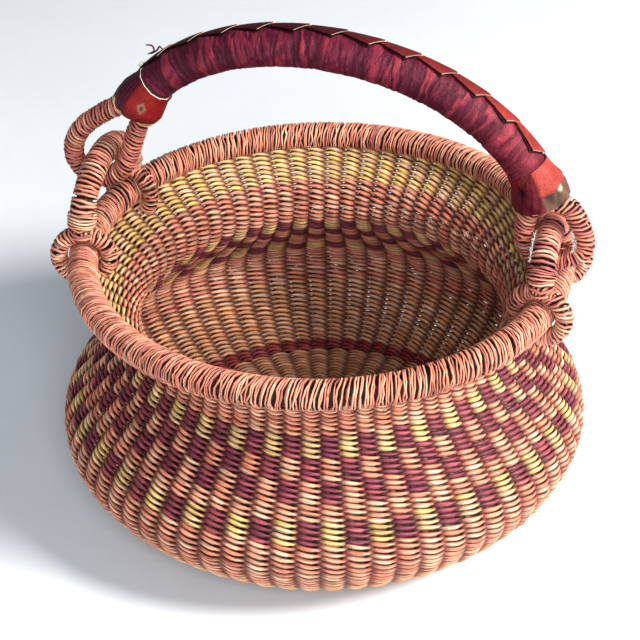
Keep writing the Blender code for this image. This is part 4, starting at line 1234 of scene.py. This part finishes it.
def grass():
    """The dyed grass of all strands."""
    return shared_material("dyed_grass", lambda: grass_finish(GrassLook))


# Operators

class BASKET_OT_cores(bpy.types.Operator):
    """Give the solid bundles inside the whippings and the handle their grass"""

    bl_idname = "basket.cores"
    bl_label = "Bundled grass cores"

    def execute(self, context):
        material = bundle_finish()
        for name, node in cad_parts.items():
            if name.endswith("_core"):
                node.data.materials.clear()
                node.data.materials.append(material)
        return {'FINISHED'}


class BASKET_OT_wall(bpy.types.Operator):
    """Twine the wall, band by band from the rim down"""

    bl_idname = "basket.wall"
    bl_label = "Twined wall"

    def execute(self, context):
        weave = context.scene.basket_weave
        rng = np.random.default_rng(WALL_SEED)
        dyes = dye_table(weave)
        distance = WALL_RUN
        for name, rows in WEFT_BANDS:
            distances = distance - ROW_SPACING * (np.arange(len(rows)) + 0.5)
            sheet = twined_rows(rng, distances, weave.stakes, rows, dyes, weave)
            add_piece("woven_" + name, [sheet], grass(), BASKET, [name])
            distance -= ROW_SPACING * len(rows)
        return {'FINISHED'}


class BASKET_OT_base(bpy.types.Operator):
    """Twine the base in rings that hold fewer stakes towards the middle"""

    bl_idname = "basket.base"
    bl_label = "Twined base"

    def execute(self, context):
        weave = context.scene.basket_weave
        rng = np.random.default_rng(BASE_SEED)
        dyes = dye_table(weave)
        rings = round(BASE_RUN / ROW_SPACING)
        distances = BASE_RUN - ROW_SPACING * (np.arange(rings) + 0.5)
        names = np.array([("natural", "natural")] * rings)
        sheets = []
        for low, high, share in BASE_STAKE_SHARES:
            stakes = 2 * round(weave.stakes * share / 2.0)
            picked = (distances > BASE_RUN * low) & (distances <= BASE_RUN * high)
            sheets.append(twined_rows(rng, distances[picked], stakes, names[picked], dyes, weave))
        add_piece("woven_base_disc", sheets, grass(), BASKET, ["base_disc"])
        return {'FINISHED'}


class BASKET_OT_stakes(bpy.types.Operator):
    """Set the upright stakes that the rows are twined on"""

    bl_idname = "basket.stakes"
    bl_label = "Stakes"

    def execute(self, context):
        weave = context.scene.basket_weave
        rng = np.random.default_rng(STAKE_SEED)
        dyes = dye_table(weave)
        sheets = []
        for low, high, share in BASE_STAKE_SHARES:
            stakes = 2 * round(weave.stakes * share / 2.0)
            sheets.append(stake_rods(rng, stakes, BASE_RUN * low, BASE_RUN * high, dyes["natural"],
                                     dyes["peach"], weave))
        sheets.append(stake_rods(rng, weave.stakes, BASE_RUN, WALL_RUN, dyes["natural"], dyes["peach"],
                                 weave))
        add_piece("upright_stakes", sheets, grass(), BASKET, [])
        return {'FINISHED'}


class BASKET_OT_rim(bpy.types.Operator):
    """Whip the rim's bundle with a two-ply strand"""

    bl_idname = "basket.rim"
    bl_label = "Rim whipping"

    def execute(self, context):
        whip = context.scene.basket_whipping
        rng = np.random.default_rng(RIM_SEED)
        dyes = dye_table(context.scene.basket_weave)
        line = circle(np.array([0.0, 0.0, RIM_HEIGHT]), RIM_RADIUS, np.array([1.0, 0.0, 0.0]),
                      np.array([0.0, 1.0, 0.0]), RIM_SAMPLES)
        sheet = whipped(rng, line, np.array([0.0, 0.0, 1.0]), RIM_TUBE_RADIUS, whip.rim_pitch, dyes,
                        WHIPPING_DYE_SHARES, closed=True, plies=2, thickness=RIM_STRAND_THICKNESS,
                        tilt=whip.tilt * RIM_LEAN_SHARE)
        add_piece("wound_rim", [sheet], grass(), BASKET, ["rim_whipping"])
        return {'FINISHED'}


class BASKET_OT_ears(bpy.types.Operator):
    """Whip the ears and the loops under their feet, and bind the feet"""

    bl_idname = "basket.ears"
    bl_label = "Ears"

    def execute(self, context):
        whip = context.scene.basket_whipping
        rng = np.random.default_rng(EAR_SEED)
        dyes = dye_table(context.scene.basket_weave)
        for side in SIDES:
            line = side.ear_line(FAIR_SAMPLES)
            normal = side.ear_normal()
            mix = WHIPPING_DYE_SHARES if side is LEFT else RING_DYE_SHARES
            sheet = whipped(rng, line, normal, EAR_TUBE_RADIUS, whip.ear_pitch, dyes, mix,
                            tilt=whip.tilt, thickness=EAR_STRAND_THICKNESS)
            node = side.name + "_ear_whipping"
            add_piece("wound_" + node, [sheet], grass(), BASKET, [node])
            for foot, way in FEET:
                centre, outward = side.foot_frame(way)
                upward = np.array([0.0, 0.0, 1.0])
                loop = circle(centre, FOOT_LOOP_RADIUS, upward, outward, FAIR_SAMPLES)
                sheet = whipped(rng, loop, np.cross(upward, outward), FOOT_LOOP_TUBE_RADIUS,
                                whip.ear_pitch, dyes, WHIPPING_DYE_SHARES, closed=True,
                                thickness=EAR_STRAND_THICKNESS, tilt=whip.tilt)
                node = side.name + "_" + foot + "_foot_loop"
                add_piece("wound_" + node, [sheet], grass(), BASKET, [node])
                leg = line if way < 0.0 else line[::-1]
                last = run_lengths(leg)[-1] - FOOT_BINDING_START - FOOT_BINDING_LENGTH
                binding = whipped(rng, leg, normal, EAR_TUBE_RADIUS + BINDING_THICKNESS,
                                  whip.binding_pitch, dyes,
                                  BINDING_DYE_SHARES if side is LEFT else RING_DYE_SHARES,
                                  first=FOOT_BINDING_START, last=last, thickness=BINDING_THICKNESS)
                node = side.name + "_" + foot + "_foot_binding"
                add_piece("wound_" + node, [binding], grass(), BASKET, [node])
        return {'FINISHED'}


class BASKET_OT_rings(bpy.types.Operator):
    """Whip the rings that link the handle to the ears, and bind the left one under its cuff"""

    bl_idname = "basket.rings"
    bl_label = "Rings"

    def execute(self, context):
        whip = context.scene.basket_whipping
        rng = np.random.default_rng(RING_SEED)
        dyes = dye_table(context.scene.basket_weave)
        normal = np.array([0.0, 1.0, 0.0])
        for side in SIDES:
            sheet = whipped(rng, side.ring_line(RING_STEPS), normal, RING_TUBE_RADIUS, whip.ring_pitch,
                            dyes, RING_DYE_SHARES, tilt=whip.tilt, thickness=EAR_STRAND_THICKNESS)
            node = side.name + "_ring_whipping"
            add_piece("wound_" + node, [sheet], grass(), HANDLE, [node])
        sheets = []
        for leg in (LEFT.ring_line(RING_STEPS)[::-1], LEFT.ring_line(RING_STEPS)):
            start = LEG_SOCKET_DEPTH + RING_BINDING_START
            last = run_lengths(leg)[-1] - start - RING_BINDING_LENGTH
            sheets.append(whipped(rng, leg, normal, RING_TUBE_RADIUS + BINDING_THICKNESS,
                                  whip.binding_pitch, dyes, MOUTH_DYE_SHARES, first=start, last=last,
                                  thickness=BINDING_THICKNESS))
        add_piece("wound_left_ring_binding", sheets, grass(), HANDLE, ["left_ring_binding"])
        return {'FINISHED'}


class BASKET_OT_skin(bpy.types.Operator):
    """Cover the handle with wrinkled leather"""

    bl_idname = "basket.skin"
    bl_label = "Handle leather"

    def execute(self, context):
        rng = np.random.default_rng(SKIN_SEED)
        sheet = skin_sheet(rng, context.scene.basket_handle)
        material = leather_finish("maroon_leather", 1500.0, 0.44)
        add_piece("wrinkled_handle_leather", [sheet], material, HANDLE, ["handle_leather"])
        return {'FINISHED'}


class BASKET_OT_seam(bpy.types.Operator):
    """Lace the seam along the handle with overlapping plates"""

    bl_idname = "basket.seam"
    bl_label = "Laced seam"

    def execute(self, context):
        rng = np.random.default_rng(SEAM_SEED)
        handle = context.scene.basket_handle
        sheets = seam_sheets(rng, handle)
        sheets += [free_strand(rng, points, LACE_END_RADIUS, handle.leather) for points in LACE_ENDS]
        material = leather_finish("red_lacing_leather", 1800.0, 0.40)
        add_piece("laced_seam", sheets, material, HANDLE, ["seam_lacing"])
        return {'FINISHED'}


class BASKET_OT_cuffs(bpy.types.Operator):
    """Fold a leather cuff round each end of the handle"""

    bl_idname = "basket.cuffs"
    bl_label = "Cuffs"

    def execute(self, context):
        rng = np.random.default_rng(CUFF_SEED)
        for side in SIDES:
            node = side.name + "_cuff"
            sheet = cuff_sheet(rng, side, context.scene.basket_handle)
            material = leather_finish(SLOTS[node], 1600.0, 0.42)
            add_piece("folded_" + node, [sheet], material, HANDLE, [node])
        return {'FINISHED'}


class BASKET_OT_thread(bpy.types.Operator):
    """Tie the thread round the leather above the left cuff, with its knot and loose ends"""

    bl_idname = "basket.thread"
    bl_label = "Tied thread"

    def execute(self, context):
        handle = context.scene.basket_handle
        rng = np.random.default_rng(THREAD_SEED)
        line = handle_line(0.0, FAIR_SAMPLES)
        start = LEFT.cuff_length + THREAD_RADIUS
        dyes = {"thread": np.array(handle.thread)}
        radius = HANDLE_RADIUS + 2.0 * THREAD_RADIUS
        last = run_lengths(line)[-1] - start - THREAD_TURNS * 2.0 * THREAD_RADIUS
        sheets = [whipped(rng, line, np.array([0.0, 1.0, 0.0]), radius, 2.0 * THREAD_RADIUS, dyes,
                          {"thread": 1.0}, first=start, last=last, thickness=2.0 * THREAD_RADIUS)]
        knot, along, _ = knot_frame(start)
        for points in thread_ends(knot, along):
            sheets.append(free_strand(rng, points, THREAD_RADIUS * KNOT_SCALE / 1.5, handle.knot))
        add_piece("tied_thread", sheets, shared_material("cream_thread", thread_finish), HANDLE,
                  ["cuff_thread"])
        return {'FINISHED'}


def knot_frame(distance):
    """Place of the knot on the outer side of the leather, the direction along it and outward."""
    line = handle_line(0.0, FAIR_SAMPLES)
    place = points_at(line, distance)
    along = directions_at(line, distance)
    outward = np.array([-along[2], 0.0, along[0]])
    outward = unit(outward * math.cos(KNOT_TURN) - np.array([0.0, 1.0, 0.0]) * math.sin(KNOT_TURN))
    return place + outward * (HANDLE_RADIUS + 2.0 * THREAD_RADIUS), along, outward


def thread_ends(knot, along):
    """Lines of the knot's two loops and of the thread's two loose ends, as steps from the knot."""
    _, _, outward = knot_frame(LEFT.cuff_length + THREAD_RADIUS)
    side = np.cross(along, outward)
    basis = np.array([along, side, outward])
    return [knot + np.array(shape) * THREAD_RADIUS * KNOT_SCALE @ basis for shape in KNOT_SHARES]


class BASKET_OT_frays(bpy.types.Operator):
    """Rub up short pale fibres where the right ear and the right ring touch"""

    bl_idname = "basket.frays"
    bl_label = "Frayed fibres"

    def execute(self, context):
        rng = np.random.default_rng(FRAY_SEED)
        whip = context.scene.basket_whipping
        for name, line, radius, shares, way, length, body in (
                ("frayed_right_ear", RIGHT.ear_line(FAIR_SAMPLES), EAR_TUBE_RADIUS, EAR_FRAY_SHARES,
                 EAR_FRAY_WAY, EAR_FRAY_LENGTH, BASKET),
                ("frayed_right_ring", RIGHT.ring_line(RING_STEPS), RING_TUBE_RADIUS, RING_FRAY_SHARES,
                 RING_FRAY_WAY, RING_FRAY_LENGTH, HANDLE)):
            distances = run_lengths(line)[-1] * np.linspace(*shares, FRAY_SAMPLES)
            sheet = tuft(rng, line, distances, radius, unit(np.array(way)), length, whip.frayed)
            add_piece(name, [sheet], grass(), body, [])
        return {'FINISHED'}


def tuft(rng, line, distances, radius, towards, length, dye):
    """Frayed fibres on the side of a rope that faces one way."""
    middle = points_at(line, distances)
    along = directions_at(line, distances)
    outward = unit(towards - np.sum(along * towards, axis=1, keepdims=True) * along)
    return frayed(rng, middle + outward * (radius - FRAY_ROOT), outward, along, length, FRAY_COUNT, dye)


class BASKET_OT_stage(bpy.types.Operator):
    """Set the camera, the lamps and the pale floor"""

    bl_idname = "basket.stage"
    bl_label = "Stage"

    def execute(self, context):
        look = context.scene.basket_stage
        scene = context.scene
        scene.view_settings.view_transform = 'Standard'
        scene.camera = add_camera(look)
        add_lamps(look)
        add_floor(look)
        return {'FINISHED'}


def add_camera(look):
    """A camera in the photograph's place: aimed at the target and rolled a little."""
    place = Vector(CAMERA_PLACE)
    back = (place - Vector(CAMERA_TARGET)).normalized()
    right = Vector((0.0, 0.0, 1.0)).cross(back).normalized()
    up = back.cross(right)
    rolled = right * math.cos(CAMERA_ROLL) + up * math.sin(CAMERA_ROLL)
    raised = up * math.cos(CAMERA_ROLL) - right * math.sin(CAMERA_ROLL)
    data = bpy.data.cameras.new("camera")
    data.lens = look.lens
    data.sensor_width = SENSOR_WIDTH
    data.clip_start = 0.01
    camera = bpy.data.objects.new("camera", data)
    camera.matrix_world = Matrix.Translation(place) @ Matrix((rolled, raised, back)).transposed().to_4x4()
    bpy.context.scene.collection.objects.link(camera)
    return camera


def add_lamps(look):
    """A soft key lamp from the right, a weak fill from the front and pale surroundings."""
    for name, place, size, power, colour in (
            ("key", KEY_PLACE, KEY_SIZE, look.key_power, KEY_COLOUR),
            ("fill", FILL_PLACE, FILL_SIZE, look.fill_power, FILL_COLOUR)):
        data = bpy.data.lights.new(name, 'AREA')
        data.shape = 'DISK'
        data.size = size
        data.energy = power
        data.color = colour
        lamp = bpy.data.objects.new(name, data)
        aim = Vector(place) - Vector(CAMERA_TARGET)
        lamp.rotation_mode = 'QUATERNION'
        lamp.rotation_quaternion = aim.to_track_quat('Z', 'Y')
        lamp.location = place
        bpy.context.scene.collection.objects.link(lamp)
    world = bpy.data.worlds.new("surroundings")
    world.use_nodes = True
    background = world.node_tree.nodes["Background"]
    background.inputs["Color"].default_value = SKY_COLOUR
    background.inputs["Strength"].default_value = look.sky
    bpy.context.scene.world = world


def add_floor(look):
    """A wide flat floor under the basket."""
    half = FLOOR_HALF
    mesh = bpy.data.meshes.new("floor")
    mesh.from_pydata([(-half, -half, 0.0), (half, -half, 0.0), (half, half, 0.0), (-half, half, 0.0)], [],
                     [(0, 1, 2, 3)])
    floor = bpy.data.objects.new("floor", mesh)
    mesh.materials.append(floor_finish(look))
    bpy.context.scene.collection.objects.link(floor)


class BASKET_PT_panel(bpy.types.Panel):
    """Lists the makers of the basket's pieces and their sizes and colours"""

    bl_label = "Grass egg basket"
    bl_idname = "BASKET_PT_panel"
    bl_space_type = 'VIEW_3D'
    bl_region_type = 'UI'
    bl_category = "Basket"

    def draw(self, context):
        for maker in MAKERS:
            self.layout.operator(maker.bl_idname)
        for name, group in SETTINGS:
            box = self.layout.box()
            box.label(text=group.__doc__)
            for prop in group.__annotations__:
                box.prop(getattr(context.scene, name), prop)


SETTINGS = (
    ("basket_weave", WeaveSettings),
    ("basket_whipping", WhippingSettings),
    ("basket_handle", HandleSettings),
    ("basket_stage", StageSettings),
)
MAKERS = (
    BASKET_OT_stage, BASKET_OT_cores, BASKET_OT_wall, BASKET_OT_base, BASKET_OT_stakes, BASKET_OT_rim,
    BASKET_OT_ears, BASKET_OT_rings, BASKET_OT_skin, BASKET_OT_seam, BASKET_OT_cuffs, BASKET_OT_thread,
    BASKET_OT_frays,
)


def register():
    """Register the classes and hang the settings on the scene."""
    for name, group in SETTINGS:
        bpy.utils.register_class(group)
        setattr(bpy.types.Scene, name, PointerProperty(type=group))
    for maker in MAKERS + (BASKET_PT_panel,):
        bpy.utils.register_class(maker)


def unregister():
    """Take the classes and the settings away again."""
    for maker in reversed(MAKERS + (BASKET_PT_panel,)):
        bpy.utils.unregister_class(maker)
    for name, group in reversed(SETTINGS):
        delattr(bpy.types.Scene, name)
        bpy.utils.unregister_class(group)


def main():
    """Register the classes and make every piece in turn."""
    register()
    for maker in MAKERS:
        family, name = maker.bl_idname.split(".")
        getattr(getattr(bpy.ops, family), name)()


if __name__ == "__main__":
    main()
